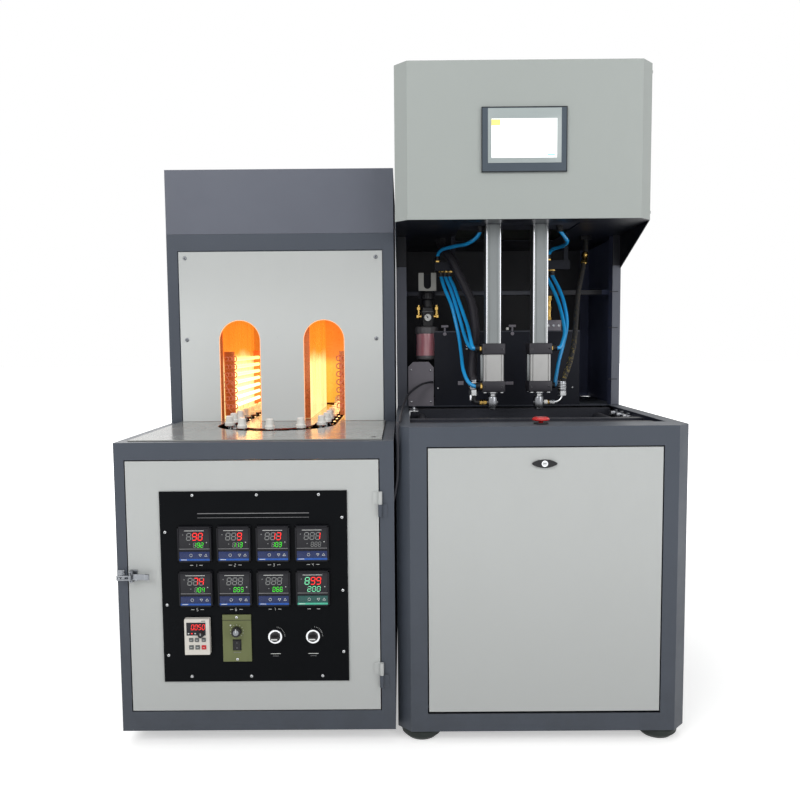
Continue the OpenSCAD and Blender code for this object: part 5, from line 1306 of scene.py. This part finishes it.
def door_lock():
    """Oval lock of the service door."""
    kit = Kit(BX, FRONT - 0.0015, 0.620)
    turns = [2 * pi * i / 48 for i in range(48)]
    kit.prism([(27 * cos(a), 9.2 * sin(a) * (0.62 + 0.38 * sin(a) ** 2)) for a in turns], -3, 2, "black")
    kit.ring(0, 0, -3.6, -2.8, 6.8, 5.2, "chrome", 32, 0.2)
    kit.lathe((0, -2.6, 0), FORWARD, [(0, 0), (5.2, 0), (5.2, 0.6), (0, 0.8)], "zinc")
    kit.box((-3.4, -3.6, -0.7), (3.4, -3, 0.7), "seal_black")
    kit.done("door_lock_face", "service_door")


stations()
nozzle("left", STATIONS[0])
nozzle("right", STATIONS[1])
filter_unit()
regulator_grip()
bay_details()
door_lock()

# Backs and sides, out of the photograph's sight


def round_heads(kit, spots, way, key="zinc"):
    """Low round screw heads with a socket, on a wall that faces way."""
    for spot in spots:
        kit.lathe(spot, way, [(4.5, -0.4), (4.5, 0.8), (3.8, 2), (2.4, 2.5), (2.2, 1.4), (0, 1.4)], key, 20)


def back_plate(kit, half, z0, z1, key, rim=None):
    """Cover plate with screws, as wide as twice half, or only its rim where one is given."""
    if rim:
        for x0, x1, low, high in ((-half, half, z0, z0 + rim), (-half, half, z1 - rim, z1),
                                  (-half, rim - half, z0 + rim, z1 - rim),
                                  (half - rim, half, z0 + rim, z1 - rim)):
            kit.box((x0, -0.2, low), (x1, 1.6, high), key, 0.7)
    else:
        kit.box((-half, -0.2, z0), (half, 1.6, z1), key, 0.8)
    x, low, high = half - 10, z0 + 10, z1 - 10
    thirds = [z0 + (z1 - z0) * k / 3 for k in (1, 2)]
    spots = [(0, low), (0, high)] + [(s * x, z) for s in (-1, 1) for z in [low, high] + thirds]
    round_heads(kit, [(x, 1.6, z) for x, z in spots], (0, 1, 0))


def rear_covers():
    """Screwed covers and vent frames."""
    kit = Kit(HX, HEATER_BACK, 0)
    back_plate(kit, 268, 405, 1130, "slate")
    back_plate(kit, 268, 80, 385, "slate", 20)
    kit.move(BX, COLUMN_BACK, 0)
    back_plate(kit, 285, 1210, 1530, "head")
    back_plate(kit, 285, 730, 1150, "slate")
    back_plate(kit, 285, 90, 660, "slate", 22)
    # Left side of the oven: a cover with nine screws
    kit.move(HEATER_SIDE, OVEN, TABLE)
    kit.box((-1.6, 50, 60), (0.2, 652, 456), "slate", 0.8)
    round_heads(kit, [(-1.6, y, z) for y in (62, 317, 640) for z in (72, 258, 444)], LEFT)
    # Screws round the vents and down the edges of both outer sides
    kit.move(HEATER_SIDE, 0, 0)
    round_heads(kit, [(0, y, z) for y in (155, 425) for z in (120, 350)], LEFT)
    kit.move(BLOWER_SIDE, 0, 0)
    round_heads(kit, [(0, y, z) for y in (-90, 170) for z in (135, 405)], RIGHT)
    round_heads(kit, [(0, y, z) for y in (-240, 30, 310) for z in (1200, 1540)], RIGHT, "head")
    kit.done("rear_covers", "root")


rear_covers()

# Floor, light and background

WHITE = (1, 1, 1, 1)


def floor():
    """Pale floor that turns into the white background further away."""
    n = Nodes("floor")
    n.shader("Base Color", n.mix(n.noise(1.2, 3.0), rgb(236, 236, 235), rgb(242, 242, 241)))
    n.shader("Roughness", 0.75)
    n.shader("Emission Color", WHITE)
    path = n.new("LightPath")
    seen = n.math("ADD", path.outputs["Is Camera Ray"], path.outputs["Is Glossy Ray"], True)
    squares = [n.times(n.axis(name), n.axis(name)) for name in ("X", "Y")]
    distance = n.math("POWER", n.math("ADD", *squares), 0.5)
    n.shader("Emission Strength", n.times(seen, n.span(distance, 1.0, 2.4, 0.46, 1.0, True)))
    mesh = bpy.data.meshes.new("floor")
    mesh.from_pydata([(-30, -30, 0), (30, -30, 0), (30, 30, 0), (-30, 30, 0)], [], [(0, 1, 2, 3)])
    mesh.materials.append(n.mat)
    ground = bpy.data.objects.new("floor", mesh)
    bpy.context.scene.collection.objects.link(ground)


def world(level):
    """White background for the camera, gloss and glass, and level as light on the object."""
    studio = bpy.data.worlds.new("studio")
    bpy.context.scene.world = studio
    studio.use_nodes = True
    tree = studio.node_tree
    back = tree.nodes["Background"]
    back.inputs["Color"].default_value = WHITE
    rays = tree.nodes.new("ShaderNodeLightPath").outputs

    def larger(a, b):
        n = tree.nodes.new("ShaderNodeMath")
        n.operation = "MAXIMUM"
        tree.links.new(a, n.inputs[0])
        tree.links.new(b, n.inputs[1])
        return n.outputs[0]

    seen = larger(rays["Is Camera Ray"], larger(rays["Is Glossy Ray"], rays["Is Transmission Ray"]))
    scale = tree.nodes.new("ShaderNodeMapRange")
    scale.inputs[3].default_value = level
    scale.inputs[4].default_value = 1.0
    tree.links.new(seen, scale.inputs[0])
    tree.links.new(scale.outputs[0], back.inputs["Strength"])


def area(name, at, to, size, power):
    data = bpy.data.lights.new(name, "AREA")
    data.shape = "RECTANGLE"
    data.size, data.size_y = size
    data.energy = power
    light = bpy.data.objects.new(name, data)
    light.location = at
    light.rotation_mode = "QUATERNION"
    light.rotation_quaternion = (Vector(to) - Vector(at)).to_track_quat("-Z", "Y")
    bpy.context.scene.collection.objects.link(light)


floor()
world(0.42)
area("key", (-2.2, -3.6, 3.2), (0, 0, 0.8), (2.6, 2.2), 76)
area("fill", (2.8, -3.2, 2.2), (0.1, 0, 0.8), (2.4, 2.4), 46)
area("top", (0, 0.2, 4.2), (0, 0, 0.9), (3.5, 3.0), 40)
area("back", (-1.5, 3.6, 2.8), (0, 0.3, 0.9), (2.6, 2.2), 50)

bpy.context.scene.view_settings.view_transform = "Standard"
bpy.context.view_layer.update()
